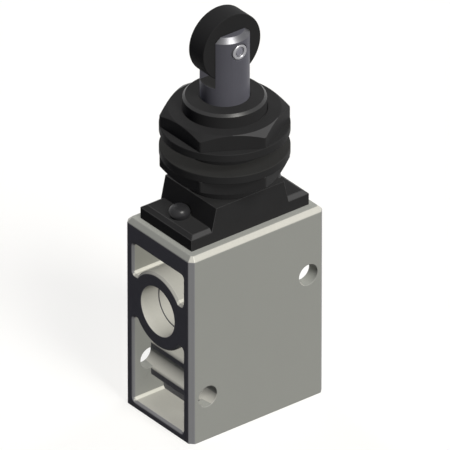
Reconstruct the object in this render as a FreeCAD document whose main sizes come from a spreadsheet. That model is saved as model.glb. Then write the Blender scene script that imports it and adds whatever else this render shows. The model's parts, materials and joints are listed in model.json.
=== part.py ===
import FreeCAD, Part
import math
import os
from enum import IntEnum
import Sketcher
from FreeCAD import Rotation, Vector

# Roller plunger valve for panel mounting, in millimetres.
# The origin is at the middle of the body's underside, Z runs up the plunger, X along the wide face.
# The outlet port is on the -X end, the supply port on the +X end.

DRIVING_SIZES = [
    # Die-cast body
    ("body_length", 28.2),
    ("body_width", 18.0),
    ("body_height", 36.0),
    ("body_chamfer", 0.8),
    ("pocket_depth", 6.4),
    ("pocket_side_wall", 2.35),
    ("pocket_outer_wall", 1.4),
    ("pocket_top_wall", 4.3),
    ("pocket_radius", 0.5),
    ("pocket_edge_break", 0.4),
    ("edge_break", 0.3),
    # Ports and mounting holes
    ("supply_height", 10.8),
    ("outlet_height", 21.8),
    ("port_boss_dia", 14.0),
    ("port_web_height", 8.4),
    ("port_thread_dia", 9.0),
    ("port_thread_depth", 3.6),
    ("port_drill_dia", 8.3),
    ("port_drill_depth", 7.0),
    ("port_passage_dia", 4.6),
    ("mount_hole_dia", 3.85),
    ("mount_hole_inset", 3.5),
    ("lower_hole_height", 8.33),
    ("upper_hole_height", 23.95),
    ("hole_boss_height", 6.66),
    ("hole_boss_setback", 3.75),
    ("hole_boss_radius", 0.6),
    ("hole_lip_radius", 0.5),
    # Bores up the middle of the body
    ("plug_bore_dia", 12.0),
    ("plug_bore_depth", 7.2),
    ("chamber_dia", 10.4),
    ("seat_height", 14.7),
    ("seat_bore_dia", 5.8),
    ("seat_lip_width", 0.5),
    ("seat_lip_height", 0.5),
    ("seat_land_height", 2.0),
    ("guide_bore_dia", 12.0),
    ("guide_length", 9.8),
    ("bore_lead_in", 0.4),
    ("ring_groove_depth", 0.5),
    ("ring_groove_height", 0.7),
    # Plug, its seal and its retaining ring
    ("fit_clearance", 0.02),
    ("running_clearance", 0.06),
    ("ring_thickness", 1.0),
    ("ring_width", 1.15),
    ("ring_gap", 2.6),
    ("ring_ear_dia", 2.4),
    ("ring_ear_hole_dia", 1.0),
    ("oring_section", 1.5),
    ("oring_side_gap", 0.15),
    ("plug_groove_height", 3.0),
    ("plug_bore_floor", 1.0),
    ("plug_dimple_dia", 5.0),
    ("plug_dimple_depth", 0.5),
    # Poppet
    ("poppet_dia", 8.6),
    ("poppet_thickness", 2.2),
    ("poppet_rod_dia", 3.8),
    ("poppet_rod_length", 7.1),
    ("poppet_seal_dia", 7.4),
    ("poppet_seal_thickness", 1.2),
    ("poppet_seal_proud", 0.2),
    ("poppet_spring_wire", 0.55),
    ("poppet_spring_dia", 6.0),
    ("poppet_spring_turns", 3.0),
    # Stem and its guide
    ("stem_dia", 4.0),
    ("stem_bore_dia", 2.0),
    ("stem_gap", 0.8),
    ("stem_bore_depth", 24.5),
    ("stem_vent_dia", 1.6),
    ("stem_socket_depth", 3.0),
    ("guide_outer_groove_height", 5.6),
    ("guide_inner_groove_height", 2.0),
    ("guide_well_dia", 9.2),
    ("guide_well_depth", 1.6),
    ("return_spring_wire", 0.9),
    ("return_spring_dia", 7.3),
    ("return_spring_turns", 5.5),
    # Black head: flange with two lugs, slanted block, threaded sleeve
    ("flange_end_gap", 1.75),
    ("flange_side_gap", 2.1),
    ("flange_edge_height", 2.1),
    ("flange_total_height", 2.65),
    ("flange_slope_inset", 0.8),
    ("block_height", 6.4),
    ("block_foot_length", 17.1),
    ("block_top_length", 14.2),
    ("head_bore_dia", 10.0),
    ("sleeve_spigot_dia", 11.8),
    ("sleeve_spigot_length", 4.0),
    ("sleeve_dia", 14.0),
    ("sleeve_length", 16.2),
    ("sleeve_chamfer", 0.45),
    ("sleeve_guide_length", 6.3),
    ("wiper_depth", 0.8),
    ("wiper_height", 1.2),
    ("wiper_offset", 1.4),
    ("wiper_lip_height", 0.24),
    # Pins through the lugs
    ("pin_inset", 2.85),
    ("pin_shank_dia", 2.2),
    ("pin_shank_length", 6.3),
    ("pin_head_dia", 3.7),
    ("pin_head_foot_dia", 3.3),
    ("pin_head_height", 1.8),
    ("pin_head_flat_dia", 2.3),
    ("pin_head_belly_height", 0.8),
    ("pin_dome_radius", 1.4),
    ("pin_spotface_clearance", 0.1),
    # Plunger and roller
    ("plunger_dia", 8.3),
    ("plunger_reach", 12.7),
    ("plunger_chamfer", 0.85),
    ("collar_dia", 9.7),
    ("collar_thickness", 2.0),
    ("collar_stop_gap", 0.1),
    ("collar_vent_width", 1.6),
    ("collar_vent_depth", 0.5),
    ("slot_width", 4.1),
    ("slot_depth", 9.5),
    ("axle_drop", 2.85),
    ("roller_dia", 12.0),
    ("roller_width", 3.9),
    ("roller_edge", 0.1),
    ("axle_dia", 2.8),
    ("axle_overhang", 0.05),
    ("axle_chamfer", 0.3),
    ("axle_dimple_dia", 1.5),
    ("axle_dimple_depth", 0.3),
    # Panel nuts and washers
    ("nut_across_flats", 19.0),
    ("nut_thickness", 2.85),
    ("nut_chamfer_circle", 18.8),
    ("nut_chamfer_drop", 0.95),
    ("nut_bore_chamfer", 0.12),
    ("washer_dia", 21.8),
    ("washer_thickness", 1.5),
    ("washer_edge", 0.15),
    ("washer_clearance", 0.1),
    ("lower_nut_gap", 2.35),
    ("panel_gap", 2.7),
]

PLACES = [
    ("half_length", "Sizes.body_length / 2"),
    ("half_width", "Sizes.body_width / 2"),
    ("pocket_half_width", "Sizes.body_width / 2 - Sizes.pocket_side_wall"),
    ("core_half_length", "Sizes.body_length / 2 - Sizes.pocket_depth"),
    ("pocket_roof", "Sizes.body_height - Sizes.pocket_top_wall"),
    ("hole_boss_face", "Places.half_length - Sizes.hole_boss_setback"),
    ("seat_land_top", "Sizes.seat_height + Sizes.seat_lip_height + Sizes.seat_land_height"),
    ("guide_foot", "Sizes.body_height - Sizes.guide_length"),
    ("plug_foot", "Sizes.ring_groove_height + Sizes.ring_thickness"),
    ("plug_length", "Sizes.plug_bore_depth - Places.plug_foot"),
    ("plug_radius", "Sizes.plug_bore_dia / 2 - Sizes.fit_clearance"),
    ("oring_groove_half", "Sizes.oring_section / 2 + Sizes.oring_side_gap"),
    ("guide_radius", "Sizes.guide_bore_dia / 2 - Sizes.fit_clearance"),
    ("stem_foot", "Sizes.seat_height + Sizes.stem_gap"),
    ("stem_hole_radius", "Sizes.stem_dia / 2 + Sizes.running_clearance"),
    ("poppet_foot", "Sizes.seat_height + Sizes.poppet_seal_proud - Sizes.poppet_thickness"),
    ("poppet_rod_foot", "Places.poppet_foot - Sizes.poppet_rod_length"),
    ("poppet_seal_foot", "Sizes.seat_height - Sizes.poppet_seal_thickness"),
    ("flange_half_length", "Places.half_length - Sizes.flange_end_gap"),
    ("flange_half_width", "Places.half_width - Sizes.flange_side_gap"),
    ("pin_place", "Places.flange_half_length - Sizes.pin_inset"),
    ("block_top", "Sizes.body_height + Sizes.block_height"),
    ("sleeve_foot", "Places.block_top - Sizes.sleeve_spigot_length"),
    ("sleeve_top", "Places.block_top + Sizes.sleeve_length"),
    ("sleeve_stop", "Places.sleeve_top - Sizes.sleeve_guide_length"),
    ("collar_top", "Places.sleeve_stop - Sizes.collar_stop_gap"),
    ("plunger_foot", "Places.collar_top - Sizes.collar_thickness"),
    ("plunger_bore_radius", "Sizes.plunger_dia / 2 + Sizes.running_clearance"),
    ("return_spring_foot", "Sizes.body_height - Sizes.guide_well_depth"),
    ("plunger_top", "Places.sleeve_top + Sizes.plunger_reach"),
    ("slot_floor", "Places.plunger_top - Sizes.slot_depth"),
    ("roller_height", "Places.plunger_top - Sizes.axle_drop"),
    ("lower_nut_foot", "Places.block_top + Sizes.lower_nut_gap"),
    ("lower_washer_foot", "Places.lower_nut_foot + Sizes.nut_thickness"),
    ("upper_washer_foot", "Places.lower_washer_foot + Sizes.washer_thickness + Sizes.panel_gap"),
    ("upper_nut_foot", "Places.upper_washer_foot + Sizes.washer_thickness"),
]


class Spot(IntEnum):
    """The points that a sketch's lines and arcs have."""

    START = 1
    END = 2
    CENTRE = 3


class Axis(IntEnum):
    """A sketch's own axes."""

    ACROSS = -1
    UP = -2


TOUCHING = 1e-4
ON_AXIS = {"X": Axis.UP, "Y": Axis.ACROSS}
ORIGIN_POINT = (Axis.ACROSS, Spot.START)

doc = FreeCAD.newDocument("roller_plunger_valve")
sizes = doc.addObject("Spreadsheet::Sheet", "Sizes")
places = doc.addObject("Spreadsheet::Sheet", "Places")
desk = doc.addObject("Spreadsheet::Sheet", "Desk")


def fill_sheets():
    """Write the driving sizes, and the places worked out from them."""
    for row, (alias, size) in enumerate(DRIVING_SIZES, start=1):
        sizes.set(f"A{row}", str(size))
        sizes.setAlias(f"A{row}", alias)
    doc.recompute()
    for row, (alias, formula) in enumerate(PLACES, start=1):
        places.setAlias(f"A{row}", alias)
        places.set(f"A{row}", "=" + formula.replace("Places.", ""))
    doc.recompute()


def number(formula):
    """Work a formula of the sheets out."""
    desk.set("A1", "=" + formula)
    desk.recompute()
    return float(desk.get("A1"))


def new_body(label, height=None):
    """A body that stands at a height above the underside of the valve."""
    body = doc.addObject("PartDesign::Body", label)
    body.Label = label
    if height:
        body.setExpression("Placement.Base.z", height)
    return body


def new_sketch(body, name, plane="XZ_Plane", offset=None):
    """A sketch on one of the body's own origin planes, moved along the plane's normal by an offset."""
    sketch = body.newObject("Sketcher::SketchObject", name)
    support = [feature for feature in body.Origin.OriginFeatures if feature.Role == plane][0]
    sketch.AttachmentSupport = [(support, "")]
    sketch.MapMode = "FlatFace"
    if offset:
        sketch.setExpression("AttachmentOffset.Base.z", offset)
    return sketch


def bind_last(sketch, constraint, formula):
    """Add a constraint whose size follows a formula."""
    index = sketch.addConstraint(constraint)
    sketch.setExpression(f"Constraints[{index}]", formula)


def pin_point(sketch, geometry, position, across, up):
    """Hold a point of a sketch at (across, up), where a leading minus sign means left or down."""
    for axis, formula in (("X", across), ("Y", up)):
        if formula == "0":
            on_axis = Sketcher.Constraint("PointOnObject", geometry, position, ON_AXIS[axis])
            sketch.addConstraint(on_axis)
        elif formula.startswith("-"):
            size = formula[1:]
            distance = Sketcher.Constraint(
                "Distance" + axis, geometry, position, *ORIGIN_POINT, number(size))
            bind_last(sketch, distance, size)
        else:
            distance = Sketcher.Constraint(
                "Distance" + axis, *ORIGIN_POINT, geometry, position, number(formula))
            bind_last(sketch, distance, formula)


def point(across, up):
    """The place of a point as the sheets have it now."""
    return Vector(number(across), number(up), 0)


def add_outline(sketch, corners, arcs=None):
    """A closed outline, each corner held by its own formulas.

    It runs anticlockwise where it has arcs, which bulge outwards: arcs maps an edge's number to its radius.
    """
    arcs = arcs or {}
    spots = [point(across, up) for across, up in corners]
    first = sketch.GeometryCount
    for step, (spot, after) in enumerate(zip(spots, spots[1:] + spots[:1])):
        if step in arcs:
            sketch.addGeometry(arc_between(spot, after, number(arcs[step])))
        else:
            sketch.addGeometry(Part.LineSegment(spot, after))
    for step in range(len(corners)):
        following = first + (step + 1) % len(corners)
        join = Sketcher.Constraint("Coincident", first + step, Spot.END, following, Spot.START)
        sketch.addConstraint(join)
    for step, (across, up) in enumerate(corners):
        pin_point(sketch, first + step, Spot.START, across, up)
    for step, radius in arcs.items():
        bind_last(sketch, Sketcher.Constraint("Radius", first + step, number(radius)), radius)


def arc_between(begin, finish, radius):
    """The anticlockwise arc of a radius from one point to another."""
    chord = finish - begin
    left = Vector(-chord.y, chord.x, 0).normalize()
    centre = begin + chord * 0.5 + left * math.sqrt(radius ** 2 - (chord.Length / 2) ** 2)
    angles = [math.atan2(spot.y - centre.y, spot.x - centre.x) for spot in (begin, finish)]
    return Part.ArcOfCircle(Part.Circle(centre, Vector(0, 0, 1), radius), *angles)


def add_circle(sketch, across, up, diameter):
    """A circle whose centre and diameter follow formulas."""
    radius = number(diameter) / 2
    index = sketch.addGeometry(Part.Circle(point(across, up), Vector(0, 0, 1), radius))
    pin_point(sketch, index, Spot.CENTRE, across, up)
    bind_last(sketch, Sketcher.Constraint("Diameter", index, 2 * radius), diameter)


def add_rounded_rectangle(sketch, low, high, radius):
    """A rectangle between two corners, each corner rounded by a quarter circle."""
    left, bottom = low
    right, top = high
    centres = [
        (right, top, "minus", "minus"),
        (left, top, "plus", "minus"),
        (left, bottom, "plus", "plus"),
        (right, bottom, "minus", "plus"),
    ]
    size = number(radius)
    quarter = math.pi / 2
    arcs = []
    for step, (across, up, side, level) in enumerate(centres):
        middle = point(across, up)
        middle.x += size if side == "plus" else -size
        middle.y += size if level == "plus" else -size
        circle = Part.Circle(middle, Vector(0, 0, 1), size)
        arcs.append(sketch.addGeometry(Part.ArcOfCircle(circle, step * quarter, (step + 1) * quarter)))
    lines = []
    for step in range(4):
        start = sketch.getPoint(arcs[step], Spot.END)
        finish = sketch.getPoint(arcs[(step + 1) % 4], Spot.START)
        lines.append(sketch.addGeometry(Part.LineSegment(start, finish)))
    for step in range(4):
        arc, line, following = arcs[step], lines[step], arcs[(step + 1) % 4]
        sketch.addConstraint(Sketcher.Constraint("Tangent", arc, Spot.END, line, Spot.START))
        sketch.addConstraint(Sketcher.Constraint("Tangent", line, Spot.END, following, Spot.START))
        if step:
            sketch.addConstraint(Sketcher.Constraint("Equal", arcs[0], arcs[step]))
    sketch.addConstraint(Sketcher.Constraint("Horizontal", lines[0]))
    sketch.addConstraint(Sketcher.Constraint("Vertical", lines[1]))
    bind_last(sketch, Sketcher.Constraint("Radius", arcs[0], size), radius)
    hold_edge(sketch, lines[0], "Y", top)
    hold_edge(sketch, lines[1], "X", left)
    hold_edge(sketch, lines[2], "Y", bottom)
    hold_edge(sketch, lines[3], "X", right)


def hold_edge(sketch, line, axis, formula):
    """Hold one end of an edge at a distance from the origin along one axis."""
    if formula.startswith("-"):
        size = formula[1:]
        distance = Sketcher.Constraint("Distance" + axis, line, Spot.START, *ORIGIN_POINT, number(size))
    else:
        size = formula
        distance = Sketcher.Constraint("Distance" + axis, *ORIGIN_POINT, line, Spot.START, number(size))
    bind_last(sketch, distance, size)


def feature(body, kind, name, profile, length, reverse=False, symmetric=False):
    """A pad or pocket of a sketch, along the sketch's normal or against it."""
    made = body.newObject("PartDesign::" + kind, name)
    made.Profile = profile
    if symmetric:
        made.SideType = "Symmetric"
    made.Reversed = reverse
    made.setExpression("Length", length)
    return made


def turned(body, kind, name, profile):
    """A full revolution of a sketch about its vertical axis, adding or cutting."""
    made = body.newObject("PartDesign::" + kind, name)
    made.Profile = profile
    made.ReferenceAxis = (profile, ["V_Axis"])
    made.Angle = 360
    return made


def turned_piece(label, height, corners):
    """A turned piece from its half section, given as radius and height above its foot."""
    body = new_body(label, height)
    section = new_sketch(body, label + "_section")
    add_outline(section, corners)
    turned(body, "Revolution", label + "_turning", section)
    return body


def body_casting():
    """The die-cast block with its top chamfer, before its ends are cored."""
    body = new_body("valve_body")
    flat_x = "Places.half_length"
    flat_y = "Places.half_width"
    cut_x = "(Places.half_length - Sizes.body_chamfer)"
    cut_y = "(Places.half_width - Sizes.body_chamfer)"
    plan = new_sketch(body, "body_plan", "XY_Plane")
    add_outline(plan, [
        (cut_x, "-" + flat_y),
        (flat_x, "-" + cut_y),
        (flat_x, cut_y),
        (cut_x, flat_y),
        ("-" + cut_x, flat_y),
        ("-" + flat_x, cut_y),
        ("-" + flat_x, "-" + cut_y),
        ("-" + cut_x, "-" + flat_y),
    ])
    block = feature(body, "Pad", "body_block", plan, "Sizes.body_height")
    doc.recompute()
    chamfer = body.newObject("PartDesign::Chamfer", "body_top_chamfer")
    chamfer.Base = (block, [top_face(block.Shape)])
    chamfer.setExpression("Size", "Sizes.body_chamfer")
    doc.recompute()
    return body


def top_face(shape):
    """Name of the highest flat face that looks up."""
    best = max(range(len(shape.Faces)), key=lambda index: shape.Faces[index].CenterOfMass.z)
    return f"Face{best + 1}"


def core_end(body, side, port_height, hole_height):
    """Core one end of the casting above and below its port, leaving the bosses of port and hole."""
    name = "outlet" if side < 0 else "supply"
    outward = side < 0
    sign = "-" if side < 0 else ""
    face = f"{sign}Places.half_length"

    opening = new_sketch(body, name + "_pocket_outlines", "YZ_Plane", face)
    for low, high in (
            ("Sizes.pocket_outer_wall", f"{port_height} - Sizes.port_web_height / 2"),
            (f"{port_height} + Sizes.port_web_height / 2", "Places.pocket_roof")):
        add_rounded_rectangle(
            opening,
            ("-Places.pocket_half_width", low),
            ("Places.pocket_half_width", high),
            "Sizes.pocket_radius")
    feature(body, "Pocket", name + "_pockets", opening, "Sizes.pocket_depth", reverse=outward)

    ring = new_sketch(body, name + "_boss_outline", "YZ_Plane", face)
    add_circle(ring, "0", port_height, "Sizes.port_boss_dia")
    feature(body, "Pad", name + "_boss", ring, "Sizes.pocket_depth + Sizes.pocket_side_wall / 2",
            reverse=not outward)

    profile = new_sketch(body, name + "_hole_boss_outline")
    inner = f"{sign}(Places.core_half_length - Sizes.hole_boss_radius)"
    outer = f"{sign}Places.hole_boss_face"
    eased = f"{sign}(Places.hole_boss_face - Sizes.hole_boss_radius)"
    bottom = f"{hole_height} - Sizes.hole_boss_height / 2"
    top = f"{hole_height} + Sizes.hole_boss_height / 2"
    eased_top = f"{top} - Sizes.hole_boss_radius"
    if side < 0:
        corners = [(inner, top), (eased, top), (outer, eased_top), (outer, bottom), (inner, bottom)]
        eased_edge = 1
    else:
        corners = [(inner, bottom), (outer, bottom), (outer, eased_top), (eased, top), (inner, top)]
        eased_edge = 2
    add_outline(profile, corners, arcs={eased_edge: "Sizes.hole_boss_radius"})
    feature(body, "Pad", name + "_hole_boss", profile, "Sizes.body_width - Sizes.pocket_side_wall",
            symmetric=True)
    doc.recompute()
    cored = body.Tip
    mouth = body.newObject("PartDesign::Chamfer", name + "_mouth_chamfer")
    mouth.Base = (cored, mouth_edges(cored.Shape, side))
    mouth.setExpression("Size", "Sizes.pocket_edge_break")
    doc.recompute()


def edge_names(shape, wanted):
    """Names of the edges of a shape that a test picks."""
    return [f"Edge{index}" for index, edge in enumerate(shape.Edges, start=1) if wanted(edge)]


def mouth_edges(shape, side):
    """Names of the edges round the mouths of the open pockets, in the flat end face of one side."""
    end = max(shape.Faces, key=lambda face: side * face.CenterOfMass.x)
    mouths = [edge for wire in end.Wires if not wire.isSame(end.OuterWire) for edge in wire.Edges]
    return edge_names(shape, lambda edge: any(edge.isSame(mouth) for mouth in mouths))


def lip_edges(shape):
    """Names of the level edges below the mounting holes, where these open the front of their bosses."""
    front = number("Places.hole_boss_face")
    reach = number("Sizes.mount_hole_dia / 2") + TOUCHING
    heights = (number("Sizes.lower_hole_height"), number("Sizes.upper_hole_height"))

    def is_lip(edge):
        box = edge.BoundBox
        level = max(box.XLength, box.ZLength) < TOUCHING
        in_front = abs(abs(box.Center.x) - front) < TOUCHING
        return level and in_front and any(0 < height - box.Center.z < reach for height in heights)

    return edge_names(shape, is_lip)


def bore_port(body, side, port_height):
    """Bore a port from its end face: thread, tapping drill and the passage to the middle bore."""
    name = "outlet" if side < 0 else "supply"
    sign = "-" if side < 0 else ""
    steps = [
        ("thread", "Sizes.port_thread_dia", "Sizes.port_thread_depth"),
        ("drill", "Sizes.port_drill_dia", "Sizes.port_drill_depth"),
        ("passage", "Sizes.port_passage_dia", "Places.half_length - Sizes.seat_bore_dia / 2"),
    ]
    for step, diameter, depth in steps:
        circle = new_sketch(body, f"{name}_{step}_circle", "YZ_Plane", f"{sign}Places.half_length")
        add_circle(circle, "0", port_height, diameter)
        feature(body, "Pocket", f"{name}_{step}", circle, depth, reverse=side < 0)


def valve_body():
    """The whole casting: cored ends, stepped middle bore, ports, mounting holes and pin holes."""
    body = body_casting()
    core_end(body, -1, "Sizes.outlet_height", "Sizes.lower_hole_height")
    core_end(body, 1, "Sizes.supply_height", "Sizes.upper_hole_height")

    section = new_sketch(body, "middle_bore_section")
    plug = "Sizes.plug_bore_dia / 2"
    groove = plug + " + Sizes.ring_groove_depth"
    chamber = "Sizes.chamber_dia / 2"
    seat = "Sizes.seat_bore_dia / 2"
    lip = seat + " + Sizes.seat_lip_width"
    guide = "Sizes.guide_bore_dia / 2"
    land = "Sizes.seat_height + Sizes.seat_lip_height"
    lead_in = "Sizes.bore_lead_in"
    add_outline(section, [
        ("0", "0"),
        (f"{plug} + {lead_in}", "0"),
        (plug, lead_in),
        (plug, "Sizes.ring_groove_height"),
        (groove, "Sizes.ring_groove_height"),
        (groove, "Places.plug_foot"),
        (plug, "Places.plug_foot"),
        (plug, "Sizes.plug_bore_depth"),
        (chamber, "Sizes.plug_bore_depth"),
        (chamber, land),
        (lip, land),
        (lip, "Sizes.seat_height"),
        (seat, "Sizes.seat_height"),
        (seat, "Places.seat_land_top"),
        (chamber, "Places.seat_land_top"),
        (chamber, "Places.guide_foot"),
        (guide, "Places.guide_foot"),
        (guide, f"Sizes.body_height - {lead_in}"),
        (f"{guide} + {lead_in}", "Sizes.body_height"),
        ("0", "Sizes.body_height"),
    ])
    turned(body, "Groove", "middle_bore", section)
    bore_port(body, -1, "Sizes.outlet_height")
    bore_port(body, 1, "Sizes.supply_height")

    holes = new_sketch(body, "mounting_hole_circles")
    inset = "(Places.half_length - Sizes.mount_hole_inset)"
    add_circle(holes, "-" + inset, "Sizes.lower_hole_height", "Sizes.mount_hole_dia")
    add_circle(holes, inset, "Sizes.upper_hole_height", "Sizes.mount_hole_dia")
    feature(body, "Pocket", "mounting_holes", holes, "Sizes.body_width * 2", symmetric=True)
    doc.recompute()
    bored = body.Tip
    lips = body.newObject("PartDesign::Fillet", "hole_lip_rounding")
    lips.Base = (bored, lip_edges(bored.Shape))
    lips.setExpression("Radius", "Sizes.hole_lip_radius")

    pins = new_sketch(body, "pin_hole_circles", "XY_Plane", "Sizes.body_height")
    shank_hole = "Sizes.pin_shank_dia + Sizes.fit_clearance * 2"
    add_circle(pins, "-Places.pin_place", "0", shank_hole)
    add_circle(pins, "Places.pin_place", "0", shank_hole)
    feature(body, "Pocket", "pin_holes", pins,
            "Sizes.pin_shank_length - Sizes.flange_total_height + Sizes.running_clearance")
    return body


def bottom_plug():
    """The plug that closes the supply chamber, grooved for its seal and bored to guide the poppet."""
    radius = "Places.plug_radius"
    groove = "Sizes.plug_bore_dia / 2 - Sizes.oring_section"
    groove_low = "Sizes.plug_groove_height - Places.oring_groove_half"
    groove_high = "Sizes.plug_groove_height + Places.oring_groove_half"
    guide = "Sizes.poppet_rod_dia / 2 + Sizes.running_clearance"
    dimple = "Sizes.plug_dimple_dia / 2"
    lead_in = "Sizes.bore_lead_in"
    return turned_piece("bottom_plug", "Places.plug_foot", [
        ("0", "Sizes.plug_dimple_depth"),
        (dimple, "Sizes.plug_dimple_depth"),
        (f"{dimple} + Sizes.plug_dimple_depth", "0"),
        (f"{radius} - {lead_in}", "0"),
        (radius, lead_in),
        (radius, groove_low),
        (groove, groove_low),
        (groove, groove_high),
        (radius, groove_high),
        (radius, "Places.plug_length"),
        (guide, "Places.plug_length"),
        (guide, "Sizes.plug_bore_floor + Sizes.plug_dimple_depth"),
        ("0", "Sizes.plug_bore_floor + Sizes.plug_dimple_depth"),
    ])


def round_section(middle, height, across):
    """The eight corners of a small round section, with its flats at its full width and height."""
    reach = f"{across} / 2"
    short = f"{across} / 2 * (sqrt(2) - 1)"
    return [
        (f"{middle} + {short}", f"{height} - {reach}"),
        (f"{middle} + {reach}", f"{height} - {short}"),
        (f"{middle} + {reach}", f"{height} + {short}"),
        (f"{middle} + {short}", f"{height} + {reach}"),
        (f"{middle} - {short}", f"{height} + {reach}"),
        (f"{middle} - {reach}", f"{height} + {short}"),
        (f"{middle} - {reach}", f"{height} - {short}"),
        (f"{middle} - {short}", f"{height} - {reach}"),
    ]


def wire_section(middle, height, wire):
    """The six corners of a thin wire's section, with its full height between the top and bottom ones."""
    side = f"{wire} / 4 * sqrt(3)"
    return [
        (middle, f"{height} - {wire} / 2"),
        (f"{middle} + {side}", f"{height} - {wire} / 4"),
        (f"{middle} + {side}", f"{height} + {wire} / 4"),
        (middle, f"{height} + {wire} / 2"),
        (f"{middle} - {side}", f"{height} + {wire} / 4"),
        (f"{middle} - {side}", f"{height} - {wire} / 4"),
    ]


def seal_ring(label, outer_radius, height):
    """A seal ring whose flattened section fills its groove out to the bore round it."""
    section = "Sizes.oring_section"
    middle = f"{outer_radius} - {section} / 2"
    return turned_piece(label, height, round_section(middle, f"{section} / 2", section))


def plug_retaining_ring():
    """The open spring ring under the plug, with an eared gap for pliers."""
    body = new_body("plug_retaining_ring", "Sizes.ring_groove_height")
    outer = "Sizes.plug_bore_dia + Sizes.ring_groove_depth * 2 - Sizes.fit_clearance * 2"
    middle = f"(({outer}) / 2 - Sizes.ring_width)"
    plan = new_sketch(body, "ring_plan", "XY_Plane")
    add_circle(plan, "0", "0", outer)
    add_circle(plan, "0", "0", f"{middle} * 2")
    feature(body, "Pad", "ring_plate", plan, "Sizes.ring_thickness")

    gap = new_sketch(body, "ring_gap_outline", "XY_Plane")
    half_gap = "Sizes.ring_gap / 2"
    add_outline(gap, [
        ("-(Sizes.ring_gap / 2)", "Sizes.ring_gap"),
        (half_gap, "Sizes.ring_gap"),
        (half_gap, "Sizes.plug_bore_dia"),
        ("-(Sizes.ring_gap / 2)", "Sizes.plug_bore_dia"),
    ])
    feature(body, "Pocket", "ring_opening", gap, "Sizes.ring_thickness", reverse=True)

    across = "(Sizes.ring_gap / 2 + Sizes.ring_ear_dia / 2 - Sizes.fit_clearance)"
    up = f"{middle} - Sizes.ring_ear_dia / 4"
    for kind, name, diameter in (
            ("Pad", "ring_ears", "Sizes.ring_ear_dia"),
            ("Pocket", "ring_ear_holes", "Sizes.ring_ear_hole_dia")):
        circles = new_sketch(body, name + "_circles", "XY_Plane")
        add_circle(circles, "-" + across, up, diameter)
        add_circle(circles, across, up, diameter)
        feature(body, kind, name, circles, "Sizes.ring_thickness", reverse=kind == "Pocket")
    return body


def poppet():
    """The brass poppet: a cup for its rubber face over a rod that slides in the plug."""
    rod = "Sizes.poppet_rod_dia / 2"
    cup = "Sizes.poppet_seal_dia / 2 + Sizes.fit_clearance"
    rim = "Sizes.poppet_rod_length + Sizes.poppet_thickness - Sizes.poppet_seal_proud * 2"
    cup_floor = "Sizes.poppet_rod_length + Sizes.poppet_thickness - Sizes.poppet_seal_proud" \
                " - Sizes.poppet_seal_thickness"
    edge = "Sizes.edge_break"
    return turned_piece("poppet", "Places.poppet_rod_foot", [
        ("0", "0"),
        (f"{rod} - {edge}", "0"),
        (rod, edge),
        (rod, "Sizes.poppet_rod_length"),
        (f"Sizes.poppet_dia / 2 - {edge}", "Sizes.poppet_rod_length"),
        ("Sizes.poppet_dia / 2", f"Sizes.poppet_rod_length + {edge}"),
        ("Sizes.poppet_dia / 2", rim),
        (cup, rim),
        (cup, cup_floor),
        ("0", cup_floor),
    ])


def poppet_seal():
    """The rubber disc that closes on the seat lip from below, and on the stem's end from above."""
    edge = "Sizes.edge_break"
    return turned_piece("poppet_seal", "Places.poppet_seal_foot", [
        ("0", "0"),
        ("Sizes.poppet_seal_dia / 2", "0"),
        ("Sizes.poppet_seal_dia / 2", f"Sizes.poppet_seal_thickness - {edge}"),
        (f"Sizes.poppet_seal_dia / 2 - {edge}", "Sizes.poppet_seal_thickness"),
        ("0", "Sizes.poppet_seal_thickness"),
    ])


def coil_spring(label, height, length, wire, mean_diameter, turns):
    """A cylindrical compression spring of round wire."""
    body = new_body(label, height)
    section = new_sketch(body, label + "_wire_section")
    add_outline(section, wire_section(f"{mean_diameter} / 2", f"{wire} / 2", wire))
    doc.recompute()
    coil = body.newObject("PartDesign::AdditiveHelix", label + "_coil")
    coil.Profile = section
    coil.ReferenceAxis = (section, ["V_Axis"])
    coil.Mode = "height-turns-angle"
    coil.setExpression("Height", f"{length} - {wire}")
    coil.setExpression("Turns", turns)
    return body


def stem_guide():
    """The brass cartridge that guides the stem and parts the outlet chamber from the head."""
    radius = "Places.guide_radius"
    hole = "Places.stem_hole_radius"
    section = "Sizes.oring_section"
    outer_groove = f"Sizes.guide_bore_dia / 2 - {section}"
    outer_low = "Sizes.guide_outer_groove_height - Places.oring_groove_half"
    outer_high = "Sizes.guide_outer_groove_height + Places.oring_groove_half"
    inner_groove = f"{hole} + {section}"
    inner_low = "Sizes.guide_inner_groove_height - Places.oring_groove_half"
    inner_high = "Sizes.guide_inner_groove_height + Places.oring_groove_half"
    well = "Sizes.guide_well_dia / 2"
    well_floor = "Sizes.guide_length - Sizes.guide_well_depth"
    lead_in = "Sizes.bore_lead_in"
    return turned_piece("stem_guide", "Places.guide_foot", [
        (hole, "0"),
        (f"{radius} - {lead_in}", "0"),
        (radius, lead_in),
        (radius, outer_low),
        (outer_groove, outer_low),
        (outer_groove, outer_high),
        (radius, outer_high),
        (radius, "Sizes.guide_length"),
        (well, "Sizes.guide_length"),
        (well, well_floor),
        (hole, well_floor),
        (hole, inner_high),
        (inner_groove, inner_high),
        (inner_groove, inner_low),
        (hole, inner_low),
    ])


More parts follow.
